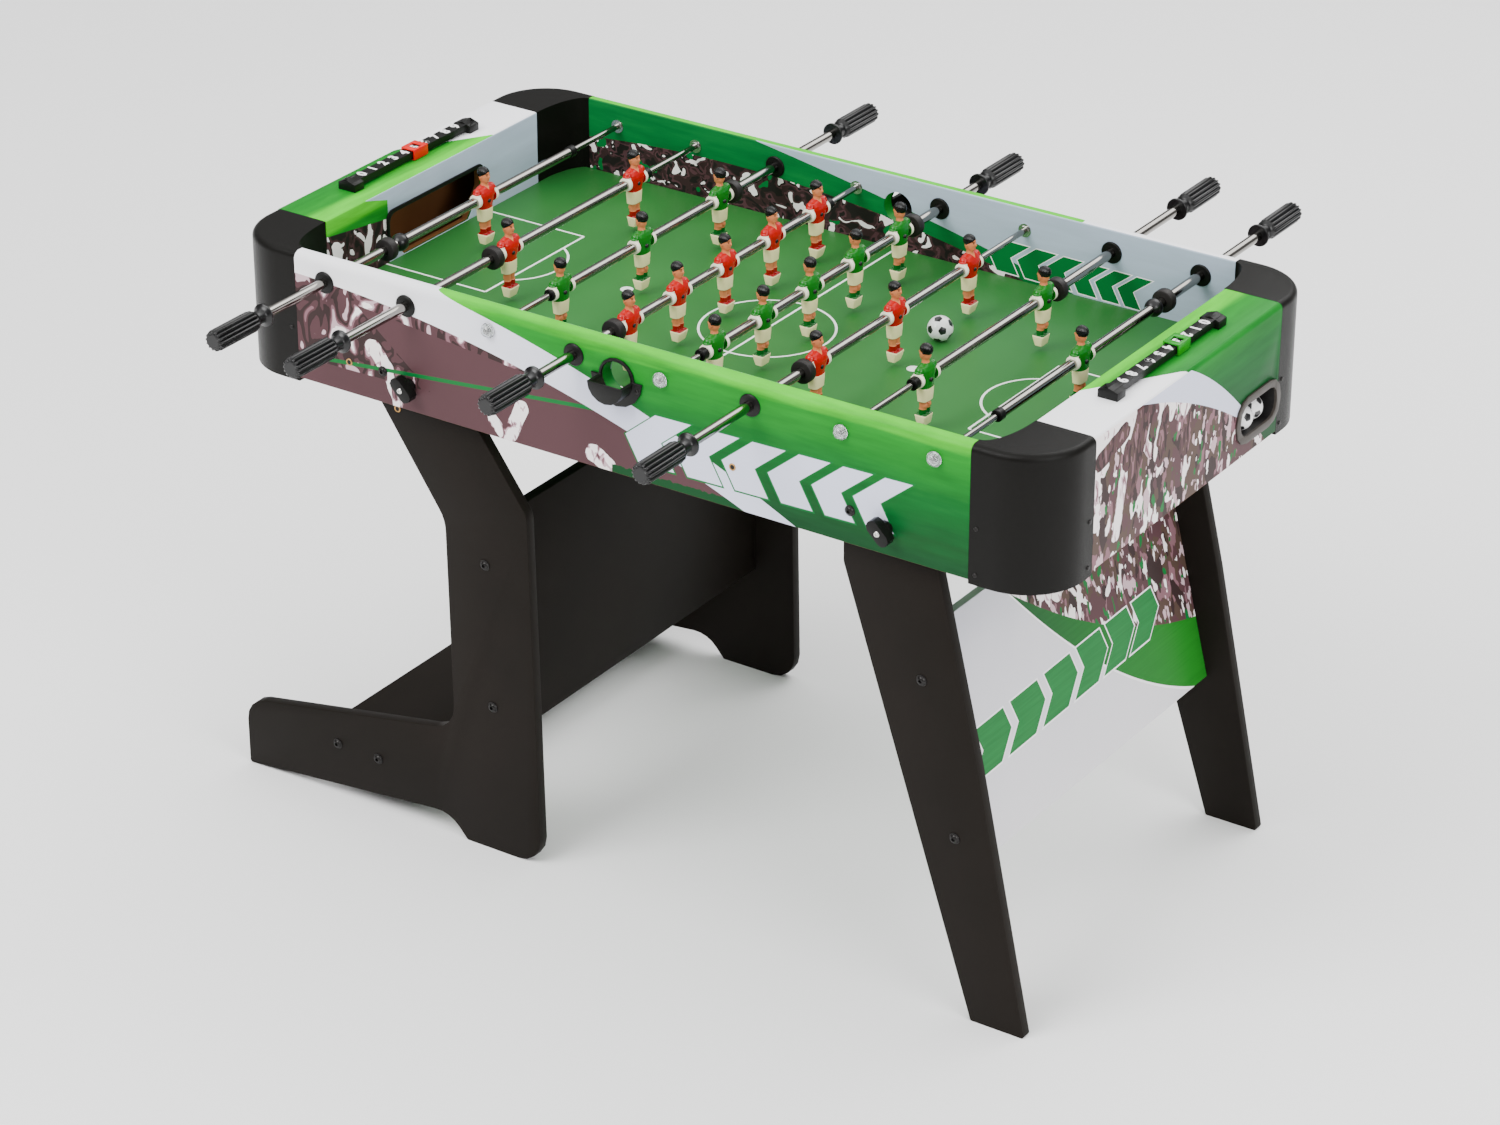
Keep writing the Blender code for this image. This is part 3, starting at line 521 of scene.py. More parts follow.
def fieldPrint():
    paint = Paint("fieldPrint", Roughness=0.42, Specular_IOR_Level=0.2)
    vector, x, y, z = paint.place()
    half = pitch["line"] / 2
    side = abs(x)
    far = (x * x + y * y).root()
    lines = (abs(far - pitch["circle"]) < half).higher(side < half)
    boxEdge = innerX - pitch["box"]
    frontLine = (abs(side - boxEdge) < half) * (abs(y) < pitch["boxHalf"])
    sideLine = (abs(abs(y) - pitch["boxHalf"]) < half) * (side > boxEdge)
    arcAt = boxEdge + pitch["arcBack"]
    ring = ((side - arcAt) * (side - arcAt) + y * y).root()
    dee = (abs(ring - pitch["arc"]) < half) * (side < boxEdge)
    spot = ((side - pitch["spot"]) * (side - pitch["spot"]) + y * y).root() < pitch["spotSize"]
    lines = lines.higher(frontLine).higher(sideLine).higher(dee).higher(spot)
    cloud = paint.noise(vector, 3.0, 3.0)
    grass = paint.ramp(cloud, (0.3, rgb(34, 98, 40)), (0.7, rgb(46, 114, 50)))
    fine = paint.noise(vector, 1100.0, 2.0)
    colour = paint.mix(lines, grass, rgb(240, 246, 240))
    return paint.feed(Base_Color=colour, Normal=paint.bump(fine, 0.08, 0.0003))


def legPanelPrint():
    # v runs up the leaning panel
    paint = Paint("legPanelPrint", Roughness=0.4, Specular_IOR_Level=0.2, IOR=1.3)
    vector, _, u, z = paint.place()
    low, high, _ = span("strut_print_panel")
    v = (z - low.z) / (high.z - low.z)
    pale = paint.ramp(paint.noise(vector, 5.0, 3.0), (0.3, rgb(206, 208, 222)), (0.7, rgb(228, 228, 236)))
    pale = paint.mix(v * 0.6, rgb(226, 224, 228), pale)
    outerCurve = 0.556 - 2.981 * u + 3.386 * u * u
    artCurve = 0.675 - 1.990 * u + 2.209 * u * u
    swoosh = brushed(paint, paint.ramp(u * 1.6 + 0.5, (0.3, rgb(30, 78, 42)), (0.62, rgb(22, 106, 38)),
                                       (0.95, rgb(30, 118, 32))), u, v, 0.10)
    art = crowdScene(paint, u, z, 8.0, (v - 0.9) * 0.35 - u * 0.4)
    colour = paint.mix((v - outerCurve) > -0.012, pale, finish["white"])
    colour = paint.mix((v - outerCurve) > 0.0, colour, swoosh)
    colour = paint.mix((v - artCurve) > 0.0, colour, art)
    # a row of leaning arrows
    for at, wide in ((-0.190, 0.066), (-0.108, 0.064), (-0.028, 0.062), (0.048, 0.058), (0.118, 0.054),
                     (0.182, 0.050)):
        tall = abs(v - 0.428 - u * 0.05)
        lean = u - (v - 0.43) * 0.12 + tall * 0.22
        colour = paint.mix((abs(lean - at) < wide / 2 + 0.0022) * (tall < 0.104), colour, finish["white"])
        colour = paint.mix((abs(lean - at) < wide / 2) * (tall < 0.097), colour,
                           brushed(paint, rgb(28, 116, 56), u, v, 0.12))
    fine = paint.noise(vector, 700.0, 2.0)
    return paint.feed(Base_Color=colour, Normal=paint.bump(fine, 0.06, 0.0003))


def wrappedBoard():
    paint = Paint("wrappedBoard", Roughness=0.5, Specular_IOR_Level=0.1, IOR=1.35)
    vector = paint.place()[0]
    grain = paint.noise(vector, 420.0, 4.0, 0.65)
    cloud = paint.noise(vector, 5.0, 2.0)
    tint = paint.ramp(cloud, (0.3, rgb(25, 22, 19)), (0.7, rgb(31, 27, 24)))
    rough = paint.make("ShaderNodeMapRange", None, {0: cloud, 3: 0.42, 4: 0.58})
    return paint.feed(Base_Color=tint, Roughness=rough, Normal=paint.bump(grain, 0.18, 0.0004))


def polished(name, colour, roughness):
    paint = Paint(name, Metallic=1.0, Roughness=roughness)
    vector, x, y, z = paint.place()
    lengthwise = paint.noise(paint.vector(x * 300.0, y * 2.5, z * 300.0), 1.0, 3.0)
    tint = paint.ramp(paint.noise(vector, 12.0), (0.3, [c * 0.9 for c in colour[:3]] + [1]), (0.7, colour))
    rough = paint.make("ShaderNodeMapRange", None, {0: lengthwise, 3: roughness * 0.85, 4: roughness * 1.2})
    return paint.feed(Base_Color=tint, Roughness=rough, Normal=paint.bump(lengthwise, 0.006, 0.0001))


def manPaint(name, shirt, sock):
    # painted by the figure's own x, y and z, kept on the mesh in metres from the rod
    paint = Paint(name, Roughness=0.24, Specular_IOR_Level=0.3, Coat_Weight=0.15, Coat_Roughness=0.06)
    vector, x, y, z = paint.place("figure")
    skin, cream, hair = rgb(218, 130, 84), rgb(254, 242, 184), rgb(8, 8, 8)
    colour = paint.mix(z > -0.0130, cream, shirt)
    inCollar = (abs(y) < (z - 0.0128) * 0.75) * (x > 0.0)
    colour = paint.mix(inCollar.higher(z > 0.0185), colour, skin)
    colour = paint.mix((abs(y) > 0.0150) * (z < 0.0095), colour, rgb(255, 250, 226))
    colour = paint.mix((z < -0.0305) * (z > -0.0415), colour, skin)
    colour = paint.mix((z < -0.0415) * (z > -0.0495), colour, sock)
    brows = (abs(z - 0.0345) < 0.0006) * (abs(abs(y) - 0.0030) < 0.0016) * (x > 0.004)
    colour = paint.mix(brows, colour, rgb(96, 60, 44))
    fromEye = ((z - 0.0328) * (z - 0.0328) + (abs(y) - 0.0029) * (abs(y) - 0.0029)).root()
    eyes = (fromEye < 0.0008) * (x > 0.004)
    colour = paint.mix(eyes, colour, rgb(60, 40, 34))
    mouth = (abs(z - 0.0262) < 0.0005) * (abs(y) < 0.0020) * (x > 0.004)
    colour = paint.mix(mouth, colour, rgb(180, 96, 84))
    sideburn = z > (0.0338 + x * 0.42 - abs(y) * 0.3)
    colour = paint.mix(sideburn * (z > 0.024), colour, hair)
    colour = paint.mix(z > 0.5, colour, rgb(20, 20, 20))
    strands = paint.make("ShaderNodeTexWave", None, {"Vector": vector, "Scale": 260.0, "Distortion": 2.0})
    relief = strands * sideburn * (z > 0.024) * (z < 0.5)
    return paint.feed(Base_Color=colour, Normal=paint.bump(relief, 0.5, 0.0005))


def ballPaint():
    paint = Paint("ballPaint", Roughness=0.28, Coat_Weight=0.3)
    patch = paint.make("ShaderNodeAttribute", {"attribute_name": "patch"}, out=2)
    colour = paint.mix(patch > 0.5, rgb(244, 244, 244), rgb(22, 22, 24))
    colour = paint.mix((patch > 0.2) * (patch < 0.5), colour, rgb(150, 150, 154))
    fine = paint.noise(paint.place()[0], 800.0, 2.0)
    return paint.feed(Base_Color=colour, Normal=paint.bump(fine, 0.05, 0.0003))


def trayPlastic():
    # brown-grey rim; further in, the tray is painted near-black as shade in the hollow
    paint = Paint("trayPlastic", Roughness=0.4, Specular_IOR_Level=0.3)
    vector, x, _, _ = paint.place()
    colour = paint.mix(abs(x) > (halfLength - 0.0006), rgb(16, 15, 15), rgb(56, 50, 45))
    cloud = paint.noise(vector, 30.0, 2.0)
    rough = paint.make("ShaderNodeMapRange", None, {0: cloud, 3: 0.34, 4: 0.5})
    fine = paint.noise(vector, 1200.0)
    return paint.feed(Base_Color=colour, Roughness=rough, Normal=paint.bump(fine, 0.2, 0.0004))


blackPlastic = plastic("blackPlastic", rgb(15, 15, 14), 0.34, 1400.0, 0.35, Specular_IOR_Level=0.25, IOR=1.4)
capPlastic = plastic("capPlastic", rgb(15, 14, 12), 0.34, 1500.0, 0.6, Specular_IOR_Level=0.2, IOR=1.35)
rubber = plastic("rubber", rgb(28, 25, 24), 0.5, 800.0, 0.25, Specular_IOR_Level=0.3)
gripRubber = plastic("gripRubber", rgb(11, 11, 12), 0.28, 800.0, 0.15, Specular_IOR_Level=0.4)
redPlastic = plastic("redPlastic", rgb(216, 4, 2), 0.25, 700.0, 0.05, Specular_IOR_Level=0.3)
greenPlastic = plastic("greenPlastic", rgb(20, 138, 24), 0.25, 700.0, 0.05, Specular_IOR_Level=0.3)
whiteInk = plastic("whiteInk", rgb(248, 248, 248), 0.4, 900.0, 0.05)
# near-black matte finish for the painted shade inside the insert holes
paintedHoleShade = plastic("paintedHoleShade", rgb(12, 11, 10), 0.8)
returnPlastic = trayPlastic()
clearPlastic = Paint("clearPlastic", Transmission_Weight=0.9, Roughness=0.08, IOR=1.45)
clearPlastic = clearPlastic.feed(Base_Color=clearPlastic.ramp(
    clearPlastic.noise(clearPlastic.place()[0], 40.0), (0.2, rgb(226, 230, 232)), (0.8, rgb(246, 248, 250))))
chrome = polished("chrome", rgb(146, 143, 138), 0.12)
zinc = polished("zinc", rgb(204, 204, 200), 0.2)
brass = polished("brass", rgb(186, 142, 84), 0.3)
boards = wrappedBoard()
shirtPaint = {"red": manPaint("redTeam", rgb(184, 0, 0), rgb(150, 0, 2)),
              "green": manPaint("greenTeam", rgb(4, 112, 20), rgb(4, 92, 26))}
print("materials ready")


def treeNode(tree, kind, settings=None, sockets=None):
    node = tree.nodes.new(kind)
    for key, value in (settings or {}).items():
        setattr(node, key, value)
    for key, value in (sockets or {}).items():
        if isinstance(value, bpy.types.NodeSocket):
            tree.links.new(value, node.inputs[key])
        else:
            node.inputs[key].default_value = value
    return node


def newTree(name, inputs):
    tree = bpy.data.node_groups.new(name, "GeometryNodeTree")
    for label, kind in inputs:
        tree.interface.new_socket(label, in_out="INPUT", socket_type=kind)
    tree.interface.new_socket("Geometry", in_out="OUTPUT", socket_type="NodeSocketGeometry")
    return tree, tree.nodes.new("NodeGroupInput").outputs


def closeTree(tree, geometry, finishSocket):
    real = treeNode(tree, "GeometryNodeRealizeInstances", None, {0: geometry})
    painted = treeNode(tree, "GeometryNodeSetMaterial", None, {
        "Geometry": real.outputs[0], "Material": finishSocket})
    treeNode(tree, "NodeGroupOutput", None, {0: painted.outputs[0]})
    return tree


def fasteningTree():
    # a part on every point, its Z turned to the point's facing
    tree, given = newTree("fastenings", [("Points", "NodeSocketGeometry"), ("Part", "NodeSocketObject"),
                                         ("Finish", "NodeSocketMaterial"), ("Size", "NodeSocketFloat")])
    info = treeNode(tree, "GeometryNodeObjectInfo", None, {0: given["Part"]})
    facing = treeNode(tree, "GeometryNodeInputNamedAttribute", {"data_type": "FLOAT_VECTOR"}, {0: "facing"})
    turn = treeNode(tree, "FunctionNodeAlignRotationToVector", {"axis": "Z"}, {"Vector": facing.outputs[0]})
    placed = treeNode(tree, "GeometryNodeInstanceOnPoints", None, {
        "Points": given["Points"], "Instance": info.outputs["Geometry"], "Rotation": turn.outputs[0],
        "Scale": given["Size"]})
    return closeTree(tree, placed.outputs[0], given["Finish"])


def menTree():
    # a row of figures along the rod, all turned the same way
    tree, given = newTree("menOnRod", [("Base", "NodeSocketGeometry"), ("Figure", "NodeSocketObject"),
                                       ("Finish", "NodeSocketMaterial"), ("Count", "NodeSocketInt"),
                                       ("First", "NodeSocketVector"), ("Step", "NodeSocketVector"),
                                       ("Turn", "NodeSocketRotation")])
    row = treeNode(tree, "GeometryNodeMeshLine", None, {
        "Count": given["Count"], "Start Location": given["First"], "Offset": given["Step"]})
    info = treeNode(tree, "GeometryNodeObjectInfo", None, {0: given["Figure"]})
    placed = treeNode(tree, "GeometryNodeInstanceOnPoints", None, {
        "Points": row.outputs[0], "Instance": info.outputs["Geometry"], "Rotation": given["Turn"]})
    return closeTree(tree, placed.outputs[0], given["Finish"])


def grown(name, base, tree, values):
    # run a tree on an object and keep the plain mesh
    modifier = base.modifiers.new(tree.name, "NODES")
    modifier.node_group = tree
    for item in tree.interface.items_tree:
        if item.item_type == "SOCKET" and item.in_out == "INPUT" and item.name in values:
            modifier[item.identifier] = values[item.name]
    mesh = evaluated(base)
    dropped(base)
    mesh.name = name
    obj = bpy.data.objects.new(name, mesh)
    bpy.context.scene.collection.objects.link(obj)
    return obj


fastenings = fasteningTree()
menOnRod = menTree()


def fastened(name, part, spots, material, body, size=1.0, sharp=35):
    # spots are (place, facing)
    mesh = bpy.data.meshes.new(name + "Points")
    mesh.from_pydata([tuple(place) for place, _ in spots], [], [])
    facing = mesh.attributes.new("facing", "FLOAT_VECTOR", "POINT")
    for item, (_, way) in zip(facing.data, spots):
        item.vector = way
    base = bpy.data.objects.new(name + "Points", mesh)
    bpy.context.scene.collection.objects.link(base)
    obj = grown(name, base, fastenings, {"Part": part, "Finish": material, "Size": size})
    return piece(name, obj, material, body, sharp=sharp)


board = {"edge": 0.010, "bushHole": 0.0082, "rodHole": 0.0046, "entryHole": 0.0217, "entryDrop": 0.014}
entryHeight = rodHeight - board["entryDrop"]


def sideBoards():
    for side, row in ((-1, "near"), (1, "far")):
        outline = rounded([(side * innerY, tableBottom, 0.0008), (side * halfWidth, tableBottom, 0.0008),
                           (side * halfWidth, tableTop, board["edge"]), (side * innerY, tableTop, 0.002)], 7)
        body = slab(outline, -boardX + fit, boardX - fit, "X")
        holes = bmesh.new()
        for spot, team in zip(rodSpots, teams):
            through = (team == "red") == (side < 0)
            radius = board["bushHole"] if through else board["rodHole"]
            slab(arc(spot.x, rodHeight, radius, 32, 0, 2 * math.pi), side * (innerY - 0.01),
                 side * (halfWidth + 0.01), "Y", holes)
        entry = span(f"{row}_ball_entry")[2]
        slab(arc(entry.x, entryHeight, board["entryHole"], 48, 0, 2 * math.pi), side * (innerY - 0.01),
             side * (halfWidth + 0.01), "Y", holes)
        body = combined(body, "DIFFERENCE", holes)
        piece(f"{row}SideBoard", body, sideBoardPrint(f"{row}SidePrint", side), "cabinet",
              [f"{row}_side_board"])


def endBoxes():
    for side, end in ((-1, "left"), (1, "right")):
        body = bevelled(fromCad(f"{end}_end_box"), 0.0008, 1)
        piece(f"{end}EndBox", body, endBoxPrint(f"{end}EndPrint", side), "cabinet", [f"{end}_end_box"])


goal = {"half": 0.099, "foot": 0.069, "shoulder": 0.037, "height": 0.066, "trim": 0.0055, "proud": 0.0022}


def goalShape(grow):
    half, foot = goal["half"] + grow, goal["foot"] + grow * 0.6
    return [(-foot, fieldTop, 0), (foot, fieldTop, 0), (half, fieldTop + goal["shoulder"], 0.004),
            (half, fieldTop + goal["height"] + grow, 0.013), (-half, fieldTop + goal["height"] + grow, 0.013),
            (-half, fieldTop + goal["shoulder"], 0.004)]


def goalTrims():
    for side, end in ((-1, "left"), (1, "right")):
        ring = slab(rounded(goalShape(goal["trim"])), side * (innerX - goal["proud"]), side * innerX, "X")
        hole = slab(rounded([(u, v - (0.01 if v <= fieldTop else 0), r) for u, v, r in goalShape(0.0)]),
                    side * (innerX - 0.01), side * (innerX + 0.01), "X")
        trim = bevelled(combined(ring, "DIFFERENCE", hole), 0.0006, 2)
        piece(f"{end}GoalTrim", trim, blackPlastic, "cabinet")


cap = {"radius": 0.078, "wall": 0.003, "top": 0.009, "steps": 14}


def cornerCaps():
    whole = rounded([(boardX, halfWidth, 0), (boardX, innerY + fit, 0), (innerX, innerY + fit, 0),
                     (innerX, boxY, 0), (halfLength, boxY, 0), (halfLength, halfWidth, cap["radius"])],
                    cap["steps"])
    sweep = [i / 16 * math.pi / 2 for i in range(17)]
    fillet = [(boardX + (innerX - boardX) * math.sin(a), innerY - (innerY - boxY) * (1 - math.cos(a)))
              for a in sweep]
    inside = fillet + [(innerX + 0.002, boxY), (innerX + 0.002, innerY + 0.002), (boardX, innerY + 0.002)]
    wall = cap["wall"]
    hollow = rounded([(innerX + wall * 0.7, boxY + wall, 0), (halfLength - wall, boxY + wall, 0),
                      (halfLength - wall, halfWidth - wall, cap["radius"] - wall),
                      (innerX + wall * 0.7, halfWidth - wall, 0)],
                     cap["steps"])
    for sx, end in ((-1, "left"), (1, "right")):
        for sy, row in ((-1, "near"), (1, "far")):
            def turnedTo(points):
                return [(sx * u, sy * v) for u, v in points]

            shell = slab(turnedTo(whole), capBottom, tableTop, "Z")
            shell = combined(shell, "UNION", slab(turnedTo(inside), fieldTop + 0.0005, tableTop, "Z"))
            room = slab(turnedTo(hollow), capBottom - 0.01, tableTop - wall * 3, "Z")
            shell = combined(shell, "DIFFERENCE", room)

            def onRim(place):
                u, v = abs(place.x), abs(place.y)
                if place.z < tableTop - 0.0001:
                    return False
                return (v > halfWidth - 0.0001 or u > halfLength - 0.0001 or
                        (u > halfLength - cap["radius"] and v > halfWidth - cap["radius"]))

            bmesh.ops.remove_doubles(shell, verts=shell.verts, dist=0.00005)
            bevelled(shell, cap["top"], 6, 30, onRim)
            piece(f"{row}{end.title()}Cap", shell, capPlastic, "cabinet", [f"{row}_{end}_corner_cap"],
                  sharp=40)


def playField():
    body = bevelled(fromCad("playfield"), 0.0004, 1)
    piece("playField", body, fieldPrint(), "cabinet", ["playfield"])


def ballEntries():
    for row in ("near", "far"):
        body = bevelled(fromCad(f"{row}_ball_entry"), 0.0008, 2)
        piece(f"{row}BallEntry", body, blackPlastic, "cabinet", [f"{row}_ball_entry"])


def ballReturns():
    for end in ("left", "right"):
        body = bevelled(fromCad(f"{end}_ball_return"), 0.0007, 2)
        piece(f"{end}BallReturn", body, returnPlastic, "cabinet", [f"{end}_ball_return"])


ball = {"radius": 0.0165, "onField": (0.200, 0.090), "fromFace": 0.0180, "fromEnd": 0.0400, "nextIn": 0.0040,
        "nextAlong": 0.03315, "trayFloor": 0.010}


def footballs():
    solid = bmesh.new()
    bmesh.ops.create_icosphere(solid, subdivisions=1, radius=1.0)
    bmesh.ops.bevel(solid, geom=list(solid.verts), offset=1 / 3 * 1.05146, offset_type="OFFSET", segments=1,
                    affect="VERTICES")
    patch = solid.faces.layers.float.new("patch")
    for face in solid.faces:
        face[patch] = 1.0 if len(face.verts) == 5 else 0.0
    bmesh.ops.triangulate(solid, faces=solid.faces)
    for _ in range(4):
        bmesh.ops.subdivide_edges(solid, edges=list(solid.edges), cuts=1, use_grid_fill=True)
        for vert in solid.verts:
            vert.co.normalize()
    bmesh.ops.scale(solid, vec=(ball["radius"],) * 3, verts=solid.verts)
    tray = span("right_ball_return")
    floorZ = tray[0].z + ball["trayFloor"] + ball["radius"]
    out, along = tray[1].x - ball["fromFace"], tray[0].y + ball["fromEnd"]
    spots = [(*ball["onField"], fieldTop + ball["radius"]), (out, along, floorZ),
             (out - ball["nextIn"], along + ball["nextAlong"], floorZ)]
    material = ballPaint()
    for index, spot in enumerate(spots):
        copy = solid.copy()
        turn = Matrix.Rotation(0.9 * index + 0.35, 4, "X") @ Matrix.Rotation(0.5 + index, 4, "Z")
        bmesh.ops.transform(copy, matrix=Matrix.Translation(spot) @ turn, verts=copy.verts)
        piece(f"football{index + 1}", copy, material, "cabinet")
    solid.free()


score = {"digit": 0.0188, "pitch": 0.0221, "first": 0.0995, "ink": 0.00025, "bold": 0.0008, "top": 0.0123}


def scoreBars():
    for side, end in ((-1, "left"), (1, "right")):
        bar = bevelled(fromCad(f"{end}_score_bar"), 0.0006, 2)
        piece(f"{end}ScoreBar", bar, blackPlastic, "cabinet", [f"{end}_score_bar"])
        runner = bevelled(fromCad(f"{end}_score_runner"), 0.0005, 2)
        piece(f"{end}ScoreRunner", runner, redPlastic if side < 0 else greenPlastic, f"{end}_score",
              [f"{end}_score_runner"])
        low, _, mid = span(f"{end}_score_bar")
        top = low.z + score["top"]
        digits = bmesh.new()
        for number in range(10):
            text = bpy.data.curves.new("digit", "FONT")
            text.body = str(number)
            text.size = score["digit"]
            text.align_x = "CENTER"
            text.align_y = "CENTER"
            text.extrude = score["ink"]
            text.offset = score["bold"]
            letter = bpy.data.objects.new("digit", text)
            bpy.context.scene.collection.objects.link(letter)
            mesh = evaluated(letter)
            y = side * (score["first"] - score["pitch"] * number)
            mesh.transform(Matrix.Translation((mid.x, y, top)) @ Matrix.Rotation(-side * math.pi / 2, 4, "Z"))
            digits.from_mesh(mesh)
            dropped(letter)
        bmesh.ops.remove_doubles(digits, verts=digits.verts, dist=0.00001)
        piece(f"{end}ScoreDigits", digits, whiteInk, "cabinet")


tube = {"radius": 0.0065, "plug": 0.0078, "plugLength": 0.009, "roundEnd": 0.0012}
grip = {"ribs": 14, "depth": 0.0030, "radius": 0.0140, "flange": 0.0148, "neck": 0.0088}
ringShape = {"radius": 0.0150, "length": 0.013, "round": 0.0022, "bore": 0.0067, "ball": 0.0118,
             "ballBack": 0.0330}


manShape = {"voxel": 0.00052, "smoothing": 3, "kept": 0.22, "dot": 0.0026, "dotAside": 0.0030}


def figure():
    # one man from simple rounded forms, blended by a remesh
    bm = bmesh.new()

    def stack(sections, around=20):
        # height, forward shift, half depth, half width, squareness
        rings = []
        for z, forward, depth, width, square in sections:
            ring = []
            for i in range(around):
                a = 2 * math.pi * i / around
                ca, sa = math.cos(a), math.sin(a)
                ring.append((forward + depth * math.copysign(abs(ca) ** square, ca),
                             width * math.copysign(abs(sa) ** square, sa), z))
            rings.append(ring)
        loft(bm, rings)

    def ball(at, size, segments=16):
        made = bmesh.ops.create_uvsphere(bm, u_segments=segments, v_segments=segments // 2, radius=1.0)
        sized = Matrix.Translation(at) @ Matrix.Diagonal((*size, 1))
        bmesh.ops.transform(bm, matrix=sized, verts=made["verts"])

    def limb(start, end, one, two):
        start, end = Vector(start), Vector(end)
        made = bmesh.ops.create_cone(bm, cap_ends=True, segments=14, radius1=one, radius2=two,
                                     depth=(end - start).length)
        turn = (end - start).to_track_quat("Z", "Y").to_matrix().to_4x4()
        bmesh.ops.transform(bm, matrix=Matrix.Translation((start + end) / 2) @ turn, verts=made["verts"])

    stack([(-0.0150, 0, 0.0078, 0.0108, 0.8), (-0.0100, 0, 0.0086, 0.0118, 0.8),
           (-0.0020, 0.0005, 0.0096, 0.0138, 0.8),
           (0.0060, 0.0008, 0.0100, 0.0158, 0.75), (0.0110, 0.0004, 0.0090, 0.0165, 0.75),
           (0.0150, 0, 0.0070, 0.0135, 0.8), (0.0178, 0, 0.0048, 0.0070, 0.9)])
    limb((0, 0, 0.0140), (0.0008, 0, 0.0245), 0.0052, 0.0044)
    ball((0.0008, 0, 0.0305), (0.0080, 0.0068, 0.0108))
    ball((-0.0006, 0, 0.0350), (0.0088, 0.0076, 0.0082))
    ball((0.0030, 0, 0.0252), (0.0052, 0.0050, 0.0045))
    ball((0.0088, 0, 0.0300), (0.0016, 0.0011, 0.0022), 8)
    for side in (-1, 1):
        ball((-0.0002, side * 0.0072, 0.0305), (0.0018, 0.0011, 0.0026), 8)
        ball((0, side * 0.0145, 0.0108), (0.0062, 0.0052, 0.0060))
        limb((0.0002, side * 0.0155, 0.0105), (0.0004, side * 0.0172, 0.0005), 0.0056, 0.0062)
        # the white ring round the rod, at the end of the sleeve
        sleeve = [(0, 0.0142), (0.0088, 0.0146), (0.0094, 0.0156), (0.0094, 0.0198), (0.0088, 0.0205),
                  (0, 0.0205)]
        turned([(radius, side * along) for radius, along in sleeve][::side], 24, bm=bm)
        limb((0.0002, side * 0.0048, -0.0120), (0.0004, side * 0.0050, -0.0305), 0.0070, 0.0066)
        limb((0.0002, side * 0.0044, -0.0290), (0.0006, side * 0.0042, -0.0500), 0.0050, 0.0040)
        limb((0.0006, side * 0.0042, -0.0412), (0.0006, side * 0.0042, -0.0500), 0.0050, 0.0046)
        ball((-0.0004, side * 0.0042, -0.0370), (0.0054, 0.0046, 0.0050))
    stack([(-0.0310, 0, 0.0070, 0.0108, 0.6), (-0.0200, 0, 0.0082, 0.0118, 0.7),
           (-0.0130, 0, 0.0088, 0.0122, 0.8)])
    stack([(-0.0632, 0.0010, 0.0052, 0.0084, 0.25), (-0.0560, 0.0014, 0.0070, 0.0094, 0.25),
           (-0.0505, 0.0016, 0.0082, 0.0098, 0.25), (-0.0485, 0.0014, 0.0072, 0.0088, 0.3)], 24)
    rough = madeObject("roughMan", bm)
    for kind, settings in (("REMESH", {"mode": "VOXEL", "voxel_size": manShape["voxel"]}),
                           ("SMOOTH", {"factor": 0.5, "iterations": manShape["smoothing"]}),
                           ("DECIMATE", {"ratio": manShape["kept"]})):
        modifier = rough.modifiers.new(kind, kind)
        for key, value in settings.items():
            setattr(modifier, key, value)
    smooth = bmesh.new()
    smooth.from_mesh(evaluated(rough))
    dropped(rough)
    attribute = smooth.verts.layers.float_vector.new("figure")
    for vert in smooth.verts:
        vert[attribute] = vert.co
    before = len(smooth.verts)
    for way in (-1, 1):
        dot = manShape["dot"]
        stud = [(0, 0.0080), (dot, 0.0080), (dot, 0.0112), (dot - 0.0008, 0.0117), (0, 0.0111)]
        stud = [(radius, way * along) for radius, along in stud][::way]
        turned(stud, 16, (0, -manShape["dotAside"] * way, -0.0012), "X", smooth)
    smooth.verts.ensure_lookup_table()
    for vert in smooth.verts[before:]:
        vert[attribute] = (0, 0, 1)
    return madeObject("man", smooth)


